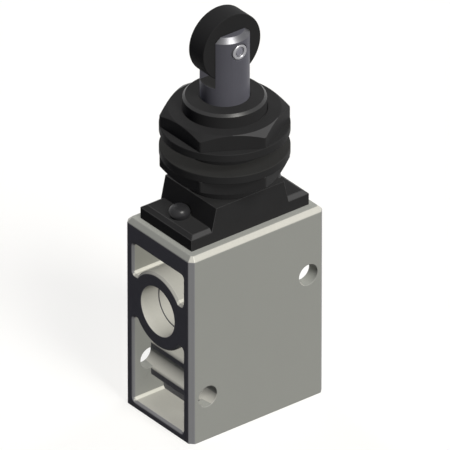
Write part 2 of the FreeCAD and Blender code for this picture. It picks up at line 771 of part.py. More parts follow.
def valve_stem():
    """The hollow stem: it opens the poppet, and its bore lets the outlet air out into the head."""
    edge = "Sizes.edge_break"
    length = "(Places.plunger_foot + Sizes.stem_socket_depth - Places.stem_foot)"
    radius = "Sizes.stem_dia / 2"
    bore = "Sizes.stem_bore_dia / 2"
    body = turned_piece("valve_stem", "Places.stem_foot", [
        (bore, "0"),
        (f"{radius} - {edge}", "0"),
        (radius, edge),
        (radius, f"{length} - {edge}"),
        (f"{radius} - {edge}", length),
        ("0", length),
        ("0", f"Sizes.stem_bore_depth + {bore}"),
        (bore, "Sizes.stem_bore_depth"),
    ])
    vent = new_sketch(body, "stem_vent_circle")
    add_circle(vent, "0", "Sizes.stem_bore_depth - Sizes.stem_vent_dia", "Sizes.stem_vent_dia")
    feature(body, "Pocket", "stem_vent", vent, "Sizes.stem_dia * 2", symmetric=True)
    return body


def head_block():
    """The black head: a flange with two sloped lugs, and a block with slanted ends between them."""
    body = new_body("head_block", "Sizes.body_height")
    half_length = "Places.flange_half_length"
    half_width = "Places.flange_half_width"
    low_plan = new_sketch(body, "flange_plan", "XY_Plane")
    add_centred_rectangle(low_plan, half_length, half_width)
    feature(body, "Pad", "flange_plate", low_plan, "Sizes.flange_edge_height")

    edge_plan = new_sketch(body, "lug_edge_plan", "XY_Plane", "Sizes.flange_edge_height")
    add_centred_rectangle(edge_plan, half_length, half_width)
    inset = "Sizes.flange_slope_inset"
    top_plan = new_sketch(body, "lug_top_plan", "XY_Plane", "Sizes.flange_total_height")
    add_centred_rectangle(top_plan, f"({half_length} - {inset})", f"({half_width} - {inset})")
    slope = body.newObject("PartDesign::AdditiveLoft", "lug_slopes")
    slope.Profile = edge_plan
    slope.Sections = [top_plan]
    slope.Ruled = True

    front = new_sketch(body, "block_front")
    foot = "(Sizes.block_foot_length / 2)"
    top = "(Sizes.block_top_length / 2)"
    add_outline(front, [
        ("-" + foot, "0"),
        (foot, "0"),
        (top, "Sizes.block_height"),
        ("-" + top, "Sizes.block_height"),
    ])
    feature(body, "Pad", "slanted_block", front, f"{half_width} * 2", symmetric=True)

    section = new_sketch(body, "head_bore_section")
    bore = "Sizes.head_bore_dia / 2"
    socket = "Sizes.sleeve_spigot_dia / 2 + Sizes.fit_clearance"
    step = "Sizes.block_height - Sizes.sleeve_spigot_length"
    add_outline(section, [
        ("0", "0"),
        (bore, "0"),
        (bore, step),
        (socket, step),
        (socket, "Sizes.block_height"),
        ("0", "Sizes.block_height"),
    ])
    turned(body, "Groove", "head_bore", section)

    spots = ("-Places.pin_place", "Places.pin_place")
    shanks = new_sketch(body, "lug_hole_circles", "XY_Plane")
    heads = new_sketch(body, "spotface_circles", "XY_Plane", "Sizes.flange_total_height")
    for spot in spots:
        add_circle(shanks, spot, "0", "Sizes.pin_shank_dia + Sizes.fit_clearance * 2")
        add_circle(heads, spot, "0", "Sizes.pin_head_dia + Sizes.pin_spotface_clearance * 2")
    feature(body, "Pocket", "lug_holes", shanks, "Sizes.flange_total_height", reverse=True)
    feature(body, "Pocket", "spotfaces", heads, "Sizes.block_height", reverse=True)
    return body


def add_centred_rectangle(sketch, half_across, half_up):
    """A rectangle about the sketch's origin."""
    add_outline(sketch, [
        ("-" + half_across, "-" + half_up),
        (half_across, "-" + half_up),
        (half_across, half_up),
        ("-" + half_across, half_up),
    ])


def threaded_sleeve():
    """The steel sleeve: its spigot sits in the head, its top end guides and wipes the plunger."""
    spigot = "Sizes.sleeve_spigot_dia / 2"
    outer = "Sizes.sleeve_dia / 2"
    bore = "Sizes.head_bore_dia / 2"
    guide = "Places.plunger_bore_radius"
    shoulder = "Sizes.sleeve_spigot_length"
    top = "Sizes.sleeve_spigot_length + Sizes.sleeve_length"
    stop = f"{top} - Sizes.sleeve_guide_length"
    wiper_top = f"{top} - Sizes.wiper_offset"
    wiper_foot = f"{wiper_top} - Sizes.wiper_height"
    wiper = f"{guide} + Sizes.wiper_depth"
    chamfer = "Sizes.sleeve_chamfer"
    return turned_piece("threaded_sleeve", "Places.sleeve_foot", [
        (bore, "0"),
        (spigot, "0"),
        (spigot, shoulder),
        (outer, shoulder),
        (outer, f"{top} - {chamfer}"),
        (f"{outer} - {chamfer}", top),
        (guide, top),
        (guide, wiper_top),
        (wiper, wiper_top),
        (wiper, wiper_foot),
        (guide, wiper_foot),
        (guide, stop),
        (bore, stop),
    ])


def sleeve_wiper():
    """The rubber lip ring in the sleeve's groove, running on the plunger."""
    lip = "Places.plunger_bore_radius"
    outer = f"{lip} + Sizes.wiper_depth - Sizes.fit_clearance"
    height = "(Sizes.wiper_height - Sizes.fit_clearance * 2)"
    foot = "Places.sleeve_top - Sizes.wiper_offset - Sizes.wiper_height + Sizes.fit_clearance"
    return turned_piece("sleeve_wiper", foot, [
        (f"{lip} + Sizes.edge_break", "0"),
        (outer, "0"),
        (outer, height),
        (f"{lip} + Sizes.edge_break", height),
        (lip, f"({height} + Sizes.wiper_lip_height) / 2"),
        (lip, f"({height} - Sizes.wiper_lip_height) / 2"),
    ])


def head_pin(label, spot):
    """A domed drive pin that holds one lug down to the body."""
    body = new_body(label, "Sizes.body_height + Sizes.flange_total_height - Sizes.pin_shank_length")
    body.setExpression("Placement.Base.x", spot)
    section = new_sketch(body, label + "_section")
    shank = "Sizes.pin_shank_dia / 2"
    seat = "Sizes.pin_shank_length"
    edge = "Sizes.edge_break"
    dome = 5
    add_outline(section, [
        ("0", "0"),
        (f"{shank} - {edge}", "0"),
        (shank, edge),
        (shank, seat),
        ("Sizes.pin_head_foot_dia / 2", seat),
        ("Sizes.pin_head_dia / 2", f"{seat} + Sizes.pin_head_belly_height"),
        ("Sizes.pin_head_flat_dia / 2", f"{seat} + Sizes.pin_head_height"),
        ("0", f"{seat} + Sizes.pin_head_height"),
    ], arcs={dome: "Sizes.pin_dome_radius"})
    turned(body, "Revolution", label + "_turning", section)
    return body


def plunger():
    """The steel plunger: a collar that stops in the sleeve, and a forked top for the roller."""
    foot = "Places.plunger_foot"
    collar = "Sizes.collar_thickness"
    radius = "Sizes.plunger_dia / 2"
    chamfer = "Sizes.plunger_chamfer"
    top = f"Places.plunger_top - {foot}"
    socket = "Sizes.stem_dia / 2 + Sizes.fit_clearance"
    edge = "Sizes.edge_break"
    body = turned_piece("plunger", foot, [
        (socket, "0"),
        (f"Sizes.collar_dia / 2 - {edge}", "0"),
        ("Sizes.collar_dia / 2", edge),
        ("Sizes.collar_dia / 2", collar),
        (radius, collar),
        (radius, f"{top} - {chamfer}"),
        (f"{radius} - {chamfer}", top),
        ("0", top),
        ("0", "Sizes.stem_socket_depth + Sizes.fit_clearance"),
        (socket, "Sizes.stem_socket_depth + Sizes.fit_clearance"),
    ])
    fork = new_sketch(body, "fork_slot_outline", "YZ_Plane")
    half_slot = "(Sizes.slot_width / 2)"
    floor = f"Places.slot_floor - {foot}"
    add_outline(fork, [
        ("-" + half_slot, floor),
        (half_slot, floor),
        (half_slot, f"{top} + {chamfer}"),
        ("-" + half_slot, f"{top} + {chamfer}"),
    ])
    feature(body, "Pocket", "fork_slot", fork, "Sizes.plunger_dia * 2", symmetric=True)

    axle = new_sketch(body, "axle_hole_circle")
    add_circle(axle, "0", f"Places.roller_height - {foot}", "Sizes.axle_dia + Sizes.fit_clearance * 2")
    feature(body, "Pocket", "axle_hole", axle, "Sizes.plunger_dia * 2", symmetric=True)

    vent = new_sketch(body, "collar_vent_outline", "XY_Plane")
    half_vent = "(Sizes.collar_vent_width / 2)"
    inner = "(Sizes.collar_dia / 2 - Sizes.collar_vent_depth)"
    for side in ("", "-"):
        add_outline(vent, [
            (side + inner, "-" + half_vent),
            (side + "Sizes.collar_dia", "-" + half_vent),
            (side + "Sizes.collar_dia", half_vent),
            (side + inner, half_vent),
        ])
    feature(body, "Pocket", "collar_vents", vent, collar, reverse=True)
    return body


def roller():
    """The roller, turning on its axle between the cheeks of the fork."""
    body = new_body("roller", "Places.roller_height")
    body.Placement.Rotation = Rotation(Vector(1, 0, 0), 90)
    section = new_sketch(body, "roller_section")
    bore = "Sizes.axle_dia / 2 + Sizes.running_clearance"
    half = "(Sizes.roller_width / 2)"
    edge = "Sizes.roller_edge"
    outer = "Sizes.roller_dia / 2"
    add_outline(section, [
        (bore, "-" + half),
        (f"{outer} - {edge}", "-" + half),
        (outer, f"-(Sizes.roller_width / 2 - {edge})"),
        (outer, f"{half} - {edge}"),
        (f"{outer} - {edge}", half),
        (bore, half),
    ])
    turned(body, "Revolution", "roller_turning", section)
    return body


def roller_axle():
    """The axle pressed through the fork, with a raised rim round a dimple at each end."""
    body = new_body("roller_axle", "Places.roller_height")
    body.Placement.Rotation = Rotation(Vector(1, 0, 0), 90)
    section = new_sketch(body, "axle_section")
    half = "(Sizes.plunger_dia / 2 + Sizes.axle_overhang)"
    radius = "Sizes.axle_dia / 2"
    tip = f"{radius} - Sizes.axle_chamfer"
    shoulder = "(Sizes.plunger_dia / 2 + Sizes.axle_overhang - Sizes.axle_chamfer)"
    dimple = "Sizes.axle_dimple_dia / 2"
    mouth = f"{dimple} + Sizes.axle_chamfer / 2"
    floor = "(Sizes.plunger_dia / 2 + Sizes.axle_overhang - Sizes.axle_dimple_depth)"
    add_outline(section, [
        ("0", "-" + floor),
        (dimple, "-" + floor),
        (mouth, "-" + half),
        (tip, "-" + half),
        (radius, "-" + shoulder),
        (radius, shoulder),
        (tip, half),
        (mouth, half),
        (dimple, floor),
        ("0", floor),
    ])
    turned(body, "Revolution", "axle_turning", section)
    return body


def panel_washer(label, height):
    """A plain washer that clamps one side of the panel."""
    inner = "Sizes.sleeve_dia / 2 + Sizes.washer_clearance"
    outer = "Sizes.washer_dia / 2"
    edge = "Sizes.washer_edge"
    thickness = "Sizes.washer_thickness"
    return turned_piece(label, height, [
        (inner, "0"),
        (f"{outer} - {edge}", "0"),
        (outer, edge),
        (outer, f"{thickness} - {edge}"),
        (f"{outer} - {edge}", thickness),
        (inner, thickness),
    ])


def panel_nut(label, height, flipped):
    """A thin hexagon nut with two corners on the Y axis, chamfered on the side away from the panel."""
    body = new_body(label)
    if flipped:
        body.Placement.Rotation = Rotation(Vector(1, 0, 0), 180)
        height = f"{height} + Sizes.nut_thickness"
    body.setExpression("Placement.Base.z", height)
    flat = "(Sizes.nut_across_flats / 2)"
    low_corner = "(Sizes.nut_across_flats / (2 * sqrt(3)))"
    far_corner = "(Sizes.nut_across_flats / sqrt(3))"
    plan = new_sketch(body, label + "_plan", "XY_Plane")
    add_outline(plan, [
        (flat, "-" + low_corner),
        (flat, low_corner),
        ("0", far_corner),
        ("-" + flat, low_corner),
        ("-" + flat, "-" + low_corner),
        ("0", "-" + far_corner),
    ])
    feature(body, "Pad", label + "_hexagon", plan, "Sizes.nut_thickness")

    thickness = "Sizes.nut_thickness"
    circle = "Sizes.nut_chamfer_circle / 2"
    spare = f"{far_corner} + Sizes.nut_bore_chamfer"
    slope = f"Sizes.nut_chamfer_drop / ({far_corner} - {circle})"
    rim = new_sketch(body, label + "_chamfer_section")
    add_outline(rim, [
        (circle, thickness),
        (spare, f"{thickness} - {slope} * ({spare} - {circle})"),
        (spare, f"{thickness} + Sizes.nut_bore_chamfer"),
        (circle, f"{thickness} + Sizes.nut_bore_chamfer"),
    ])
    turned(body, "Groove", label + "_corner_chamfer", rim)

    bore = new_sketch(body, label + "_bore_section")
    radius = "Sizes.sleeve_dia / 2 + Sizes.running_clearance"
    lead_in = "Sizes.nut_bore_chamfer"
    add_outline(bore, [
        ("0", "0"),
        (f"{radius} + {lead_in}", "0"),
        (radius, lead_in),
        (radius, f"{thickness} - {lead_in}"),
        (f"{radius} + {lead_in}", thickness),
        ("0", thickness),
    ])
    turned(body, "Groove", label + "_bore", bore)
    return body


def build_all():
    """Every piece of the valve, in the order that it goes together."""
    return [
        valve_body(),
        bottom_plug(),
        seal_ring("plug_seal", "Sizes.plug_bore_dia / 2",
                  "Places.plug_foot + Sizes.plug_groove_height - Sizes.oring_section / 2"),
        plug_retaining_ring(),
        coil_spring(
            "poppet_spring", "Sizes.plug_bore_depth",
            "Places.poppet_foot - Sizes.plug_bore_depth - Sizes.running_clearance",
            "Sizes.poppet_spring_wire", "Sizes.poppet_spring_dia", "Sizes.poppet_spring_turns"),
        poppet(),
        poppet_seal(),
        stem_guide(),
        seal_ring("guide_seal", "Sizes.guide_bore_dia / 2",
                  "Places.guide_foot + Sizes.guide_outer_groove_height - Sizes.oring_section / 2"),
        seal_ring("stem_seal", "Places.stem_hole_radius + Sizes.oring_section",
                  "Places.guide_foot + Sizes.guide_inner_groove_height - Sizes.oring_section / 2"),
        valve_stem(),
        coil_spring(
            "return_spring", "Places.return_spring_foot",
            "Places.plunger_foot - Places.return_spring_foot - Sizes.running_clearance",
            "Sizes.return_spring_wire", "Sizes.return_spring_dia", "Sizes.return_spring_turns"),
        head_block(),
        threaded_sleeve(),
        sleeve_wiper(),
        head_pin("head_pin_left", "-Places.pin_place"),
        head_pin("head_pin_right", "Places.pin_place"),
        plunger(),
        roller_axle(),
        roller(),
        panel_nut("lower_nut", "Places.lower_nut_foot", flipped=True),
        panel_washer("lower_washer", "Places.lower_washer_foot"),
        panel_washer("upper_washer", "Places.upper_washer_foot"),
        panel_nut("upper_nut", "Places.upper_nut_foot", flipped=False),
    ]


def check_document():
    """Stop if any object of the document failed to build."""
    failed = [each.Name for each in doc.Objects if {"Invalid", "Error"} & set(each.State)]
    if failed:
        raise RuntimeError("These features failed: " + ", ".join(failed))


def write_pieces(pieces):
    """Check each piece and write it to its own file."""
    for piece in pieces:
        shape = piece.Shape
        if shape.isNull() or not shape.isValid() or not shape.Solids:
            raise RuntimeError("This piece has no sound solid: " + piece.Label)
    os.makedirs("parts", exist_ok=True)
    for piece in pieces:
        piece.Shape.exportStep(f"parts/{piece.Label}.step")
        box = piece.Shape.BoundBox
        print(f"{piece.Label}: {len(piece.Shape.Solids)} solid, {piece.Shape.Volume:.1f} mm3,"
              f" z {box.ZMin:.2f} to {box.ZMax:.2f}")


fill_sheets()
all_pieces = build_all()
doc.recompute()
check_document()
write_pieces(all_pieces)
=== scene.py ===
import json
import logging
import math
from collections.abc import Iterator
from contextlib import contextmanager
from dataclasses import dataclass
from enum import Enum, IntEnum
from typing import NamedTuple

import bmesh
import bpy
import numpy as np
from mathutils import Matrix, Vector

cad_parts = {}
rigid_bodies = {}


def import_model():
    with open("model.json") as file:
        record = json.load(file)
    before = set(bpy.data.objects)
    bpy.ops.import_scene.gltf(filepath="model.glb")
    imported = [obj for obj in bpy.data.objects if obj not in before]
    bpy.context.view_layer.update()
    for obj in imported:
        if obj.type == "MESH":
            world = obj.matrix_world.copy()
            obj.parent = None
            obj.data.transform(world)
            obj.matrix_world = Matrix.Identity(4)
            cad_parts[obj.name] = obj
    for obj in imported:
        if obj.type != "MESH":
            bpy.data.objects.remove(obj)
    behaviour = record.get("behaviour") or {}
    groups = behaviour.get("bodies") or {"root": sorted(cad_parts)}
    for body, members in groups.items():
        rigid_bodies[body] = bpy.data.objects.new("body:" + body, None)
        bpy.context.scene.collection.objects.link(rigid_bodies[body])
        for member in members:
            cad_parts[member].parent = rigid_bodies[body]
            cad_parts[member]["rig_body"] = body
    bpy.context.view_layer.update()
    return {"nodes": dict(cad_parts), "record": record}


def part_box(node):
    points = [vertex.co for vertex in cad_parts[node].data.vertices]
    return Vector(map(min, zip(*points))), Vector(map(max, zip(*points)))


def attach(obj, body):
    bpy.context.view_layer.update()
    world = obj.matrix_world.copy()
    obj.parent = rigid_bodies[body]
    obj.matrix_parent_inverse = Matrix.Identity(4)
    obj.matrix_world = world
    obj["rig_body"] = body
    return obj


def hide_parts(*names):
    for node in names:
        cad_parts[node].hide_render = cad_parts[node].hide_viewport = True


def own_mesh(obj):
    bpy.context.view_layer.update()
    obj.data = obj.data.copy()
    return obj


# A roller plunger valve for panel mounting: the finished surfaces of its pieces, on the frame of its solids.
# Sizes in the classes are in millimetres. Meshes are in metres, each in its place in the frame.
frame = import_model()

LOG = logging.getLogger("valve")
MM = 0.001
MERGE_DISTANCE = 1e-7
FLAT_ANGLE = math.radians(0.3)
SHARP_ANGLE = math.radians(30)
ARC_STEPS = 7
ROUND_ANGLES = np.linspace(0, 2 * np.pi, 128, endpoint=False)
SEAL_ANGLES = np.linspace(0, 2 * np.pi, 24, endpoint=False)
# Blender's wave texture runs through this many radians in one unit of length, at a scale of 1.
WAVE_RADIANS = 20
# The middle of the axle, which the lines of its grain run round.
AXLE_CENTRE = (0.0, 0.0, 68.45)


class Make(Enum):
    """How a surface was made, which sets the pattern of its grain."""

    BLASTED = "blasted"
    COATED = "coated"
    TURNED = "turned"
    MOULDED = "moulded"
    DRAWN = "drawn"


# How much of each finer layer goes into the noise of a grain that has no lines.
NOISE_ROUGHNESS = {Make.BLASTED: 0.75, Make.COATED: 0.5, Make.MOULDED: 0.6}


class Corner(NamedTuple):
    """A corner of a turned section: its place, its rounding, and the finish from it up to the next corner."""

    radius: float
    height: float
    rounding: float = 0.0
    finish: int = 0


Source = bpy.types.NodeSocket | float


class ShaderTree:
    """A node tree that is filled by short calls."""

    def __init__(self, owner: bpy.types.Material | bpy.types.World) -> None:
        """Start from an empty tree.

        Args:
            owner: the material or the world that the tree belongs to.
        """
        owner.use_nodes = True
        self.tree = owner.node_tree
        self.tree.nodes.clear()

    def add(self, kind: str, settings: dict | None = None, **inputs: object) -> bpy.types.Node:
        """Add a node, set its options and fill its inputs.

        Args:
            kind: the node's type without the word ShaderNode.
            settings: options of the node itself.
            inputs: for each input, with _ for a space, a number, a colour, or the socket that feeds it.

        Returns:
            The new node.
        """
        node = self.tree.nodes.new("ShaderNode" + kind)
        for option, choice in (settings or {}).items():
            setattr(node, option, choice)
        for name, source in inputs.items():
            self.fill(node.inputs[name.replace("_", " ")], source)
        return node

    def fill(self, socket: bpy.types.NodeSocket, source: object) -> None:
        """Fill one input of a node.

        Args:
            socket: the input.
            source: a number, a colour, or the socket that feeds it.
        """
        if isinstance(source, bpy.types.NodeSocket):
            self.tree.links.new(source, socket)
        else:
            socket.default_value = source

    def join(self, kind: str, *sources: object, settings: dict | None = None) -> bpy.types.NodeSocket:
        """Add a node, fill its inputs in their order and give its first output.

        Args:
            kind: the node's type without the word ShaderNode.
            sources: for each input in turn, a number, a colour, or the socket that feeds it.
            settings: options of the node itself.

        Returns:
            The node's first output.
        """
        node = self.add(kind, settings)
        for socket, source in zip(node.inputs, sources):
            self.fill(socket, source)
        return node.outputs[0]

    def work_out(self, operation: str, *sources: Source) -> bpy.types.NodeSocket:
        """Join numbers by one operation, such as MULTIPLY, and give the answer's socket."""
        return self.join("Math", *sources, settings={"operation": operation})


@dataclass(frozen=True)
class Finish:
    """A finish: its colour and gloss, and the grain that its making leaves."""

    name: str
    make: Make
    colour: tuple[float, float, float]
    metallic: float = 0.0
    roughness: float = 0.4
    roughness_spread: float = 0.06
    specular: float = 0.3
    mottle_size: float = 4.0
    mottle_depth: float = 0.05
    grain_size: float = 0.3
    grain_depth: float = 0.05
    relief: float = 0.004
    lay: str = "Z"
    centre: tuple[float, float, float] = (0.0, 0.0, 0.0)

    def material(self) -> bpy.types.Material:
        """The finish as a material, made once.

        Its colour is the plain colour times one plus the mottle and the grain, each a noise that runs from
        minus its depth to plus its depth. The roughness follows the same noise, and the grain also lifts the
        surface.

        Returns:
            The material.
        """
        known = bpy.data.materials.get(self.name)
        if known:
            return known
        made = bpy.data.materials.new(self.name)
        nodes = ShaderTree(made)
        where = nodes.add("TexCoord").outputs["Object"]
        place = nodes.add("Mapping", Vector=where, Location=[-MM * each for each in self.centre]).outputs[0]
        mottle = nodes.add("TexNoise", Vector=place, Scale=1 / (self.mottle_size * MM), Detail=3.0).outputs[0]
        grain = self.grain(nodes, place)
        darkest = 1 - self.mottle_depth - self.grain_depth
        drift = nodes.work_out("MULTIPLY_ADD", mottle, 2 * self.mottle_depth, darkest)
        shade = nodes.work_out("MULTIPLY_ADD", grain, 2 * self.grain_depth, drift)
        tint = nodes.add("VectorMath", {"operation": "SCALE"}, Vector=self.colour, Scale=shade).outputs[0]
        smoothest = self.roughness - self.roughness_spread
        gloss = nodes.work_out("MULTIPLY_ADD", grain, 2 * self.roughness_spread, smoothest)
        bump = nodes.add("Bump", Height=grain, Strength=1.0, Distance=self.relief * MM).outputs[0]
        shader = nodes.add(
            "BsdfPrincipled", Base_Color=tint, Metallic=self.metallic, Roughness=gloss, Normal=bump,
            Specular_IOR_Level=self.specular)
        nodes.add("OutputMaterial", Surface=shader.outputs[0])
        return made

    def grain(self, nodes: ShaderTree, place: bpy.types.NodeSocket) -> bpy.types.NodeSocket:
        """The fine grain that the making leaves, from 0 to 1.

        A turned or drawn surface has fine lines round or along its axis: a wave of the distance along the
        axis plus a wave of the distance from it, halved. The others have a noise.

        Args:
            nodes: the material's tree.
            place: the socket that carries the place in the piece.

        Returns:
            The socket that carries the grain.
        """
        if self.make in NOISE_ROUGHNESS:
            return nodes.add(
                "TexNoise", Vector=place, Scale=1 / (self.grain_size * MM), Detail=2.0,
                Roughness=NOISE_ROUGHNESS[self.make]).outputs[0]
        wave_scale = 2 * math.pi / (WAVE_RADIANS * self.grain_size * MM)
        waves = [
            nodes.add(
                "TexWave", {"wave_type": kind, option: self.lay}, Vector=place, Scale=wave_scale,
                Distortion=1.5, Detail=1.0, Detail_Scale=0.4).outputs["Fac"]
            for kind, option in (("BANDS", "bands_direction"), ("RINGS", "rings_direction"))
        ]
        return nodes.work_out("MULTIPLY", nodes.work_out("ADD", *waves), 0.5)


CAST_ALUMINIUM = Finish(
    "cast_aluminium_blasted", Make.BLASTED, (0.291, 0.297, 0.281), roughness=0.50, specular=0.06,
    mottle_size=6.0, mottle_depth=0.02, grain_size=0.25, grain_depth=0.03, relief=0.003)
CAST_INSIDE = Finish(
    "cast_aluminium_cored", Make.BLASTED, (0.288, 0.290, 0.264), roughness=0.50, specular=0.06,
    mottle_size=5.0, mottle_depth=0.03, grain_size=0.3, grain_depth=0.04, relief=0.004)
# Painted shade: the flat ends that look along X are darker and bluer than the rest of the casting, for the
# shade they lie in.
CAST_END_PAINTED_SHADE = Finish(
    "cast_aluminium_end_painted_shade", Make.BLASTED, (0.22, 0.22, 0.24), roughness=0.55, specular=0.02,
    mottle_size=5.0, mottle_depth=0.05, grain_size=0.25, grain_depth=0.05, relief=0.003)
# Painted shade, lighter than on the ends: the chamfers that look partly along X near an end are a little
# darker and bluer.
CAST_CORNER_PAINTED_SHADE = Finish(
    "cast_aluminium_corner_painted_shade", Make.BLASTED, (0.262, 0.264, 0.278), roughness=0.52, specular=0.02,
    mottle_size=5.0, mottle_depth=0.03, grain_size=0.25, grain_depth=0.04, relief=0.003)
# The long top chamfers are machined, and their lighter colour is partly a painted highlight.
MACHINED_AND_PAINTED_HIGHLIGHT = Finish(
    "machined_aluminium_painted_highlight", Make.COATED, (0.46, 0.455, 0.42), metallic=0.1, roughness=0.42, specular=0.20,
    mottle_depth=0.03, grain_depth=0.04, relief=0.001)
# Painted light: the ports' bores and what looks up inside the cored ends are lighter than the casting, where
# it shades them.
CAST_PAINTED_LIGHT = Finish(
    "cast_aluminium_painted_light", Make.COATED, (0.44, 0.436, 0.405), roughness=0.42, specular=0.15,
    mottle_depth=0.03, grain_depth=0.04, relief=0.001)
# Painted highlight on the roundings along the pockets' long lower corners.
CAST_PAINTED_HIGHLIGHT = Finish(
    "cast_aluminium_painted_highlight", Make.COATED, (0.62, 0.616, 0.566), roughness=0.40, specular=0.20,
    mottle_depth=0.03, grain_depth=0.03, relief=0.001)
BLACK_COAT = Finish(
    "head_black_coat", Make.COATED, (0.0255, 0.0255, 0.0265), roughness=0.50, specular=0.01,
    mottle_depth=0.08, grain_size=0.2, grain_depth=0.08, relief=0.003)
BLACK_STEEL = Finish(
    "blackened_steel", Make.TURNED, (0.0245, 0.0245, 0.0255), roughness=0.42, specular=0.01,
    mottle_depth=0.08, grain_size=0.18, grain_depth=0.05, relief=0.0012)
BLACK_HEXAGON = Finish(
    "blackened_steel_hexagon", Make.COATED, (0.0245, 0.0245, 0.0255), roughness=0.45, specular=0.01,
    mottle_depth=0.08, grain_size=0.2, grain_depth=0.06, relief=0.002)
# Painted highlight on the chamfers of the head block and the nuts that look along Y and aslant.
BLACK_PAINTED_HIGHLIGHT = Finish(
    "black_chamfer_painted_highlight", Make.COATED, (0.056, 0.056, 0.058), roughness=0.42, specular=0.05,
    mottle_depth=0.08, grain_size=0.2, grain_depth=0.06, relief=0.0015)
BLACK_EDGE = Finish(
    "blackened_steel_worn_edge", Make.COATED, (0.028, 0.028, 0.029), roughness=0.36, specular=0.20,
    mottle_depth=0.06, grain_size=0.2, grain_depth=0.05, relief=0.001)
# Painted light: the washers' clamp faces are a touch lighter than the blackened steel, which lifts the lower
# washer's top in the shade under the upper washer.
CLAMP_FACE_PAINTED_LIGHT = Finish(
    "washer_face_painted_light", Make.TURNED, (0.027, 0.027, 0.027), roughness=0.45, specular=0.02,
    mottle_depth=0.10, grain_size=0.2, grain_depth=0.07, relief=0.0015)
PIN_BLACK = Finish(
    "pin_black", Make.COATED, (0.024, 0.024, 0.026), roughness=0.30, specular=0.15,
    mottle_depth=0.08, grain_size=0.2, grain_depth=0.05, relief=0.001)
PLUNGER_STEEL = Finish(
    "plunger_ground_steel", Make.TURNED, (0.086, 0.086, 0.104), metallic=0.02, roughness=0.42, specular=0.08,
    mottle_depth=0.05, grain_size=0.12, grain_depth=0.05, relief=0.0010)
PLUNGER_EDGE = Finish(
    "plunger_polished_chamfer", Make.TURNED, (0.115, 0.115, 0.125), metallic=0.8, roughness=0.39,
    specular=0.5, mottle_depth=0.05, grain_size=0.12, grain_depth=0.04, relief=0.0006)
SLOT_STEEL = Finish(
    "fork_milled_steel", Make.COATED, (0.036, 0.036, 0.037), metallic=0.1, roughness=0.45, specular=0.10,
    mottle_depth=0.05, grain_size=0.15, grain_depth=0.06, relief=0.0015)
AXLE_RIM = Finish(
    "axle_bright_rim", Make.TURNED, (0.33, 0.33, 0.35), metallic=0.8, roughness=0.36, specular=0.5,
    grain_size=0.1, grain_depth=0.03, relief=0.0005, lay="Y", centre=AXLE_CENTRE)
AXLE_END = Finish(
    "axle_end_steel", Make.TURNED, (0.20, 0.20, 0.235), metallic=0.1, roughness=0.45, specular=0.2,
    grain_size=0.1, grain_depth=0.05, relief=0.0008, lay="Y", centre=AXLE_CENTRE)
ROLLER_BLACK = Finish(
    "roller_moulded_black", Make.MOULDED, (0.021, 0.021, 0.022), roughness=0.55, specular=0.015,
    mottle_depth=0.06, grain_size=0.2, grain_depth=0.08, relief=0.002)
BRASS = Finish(
    "turned_brass", Make.TURNED, (0.60, 0.42, 0.17), metallic=0.9, roughness=0.3, specular=0.5,
    mottle_depth=0.06, grain_size=0.15, grain_depth=0.06, relief=0.001)
SEAL_RUBBER = Finish(
    "seal_rubber", Make.MOULDED, (0.02, 0.02, 0.02), roughness=0.6, specular=0.3,
    grain_size=0.15, grain_depth=0.1, relief=0.002)
SPRING_WIRE = Finish(
    "drawn_spring_wire", Make.DRAWN, (0.50, 0.50, 0.50), metallic=0.9, roughness=0.28, specular=0.5,
    grain_size=0.2, grain_depth=0.04, relief=0.0005)

FINISH_OF_SLOT = {
    "cast_aluminium": CAST_ALUMINIUM,
    "black_finish": BLACK_COAT,
    "black_steel": BLACK_STEEL,
    "plunger_steel": PLUNGER_STEEL,
    "axle_steel": AXLE_END,
    "roller_black": ROLLER_BLACK,
    "brass": BRASS,
    "seal_rubber": SEAL_RUBBER,
    "spring_steel": SPRING_WIRE,
}
SLOT_OF_NODE = {row["node"]: row["material_slot"] for row in frame["record"]["subparts"]}


def unit(vectors: np.ndarray) -> np.ndarray:
    """Vectors of length one along the last axis, where a vector of no length stays as it is."""
    lengths = np.linalg.norm(vectors, axis=-1, keepdims=True)
    return vectors / np.where(lengths > 0, lengths, 1)


def grid_faces(rows: int, columns: int, wrap_rows: bool, wrap_columns: bool) -> np.ndarray:
    """The four-sided faces between neighbouring points of a grid.

    Point (row, column) has the number row times columns plus column, and a face joins it to the next column,
    the next row and column, and the next row.

    Args:
        rows: number of rows of points.
        columns: number of points in a row.
        wrap_rows: whether the last row joins the first.
        wrap_columns: whether the last column joins the first.

    Returns:
        An array of four point numbers for each face.
    """
    row = np.arange(rows if wrap_rows else rows - 1)[:, None]
    column = np.arange(columns if wrap_columns else columns - 1)[None, :]
    next_row = (row + 1) % rows
    next_column = (column + 1) % columns
    corners = (
        row * columns + column, row * columns + next_column,
        next_row * columns + next_column, next_row * columns + column)
    return np.stack(np.broadcast_arrays(*corners), axis=-1).reshape(-1, 4)


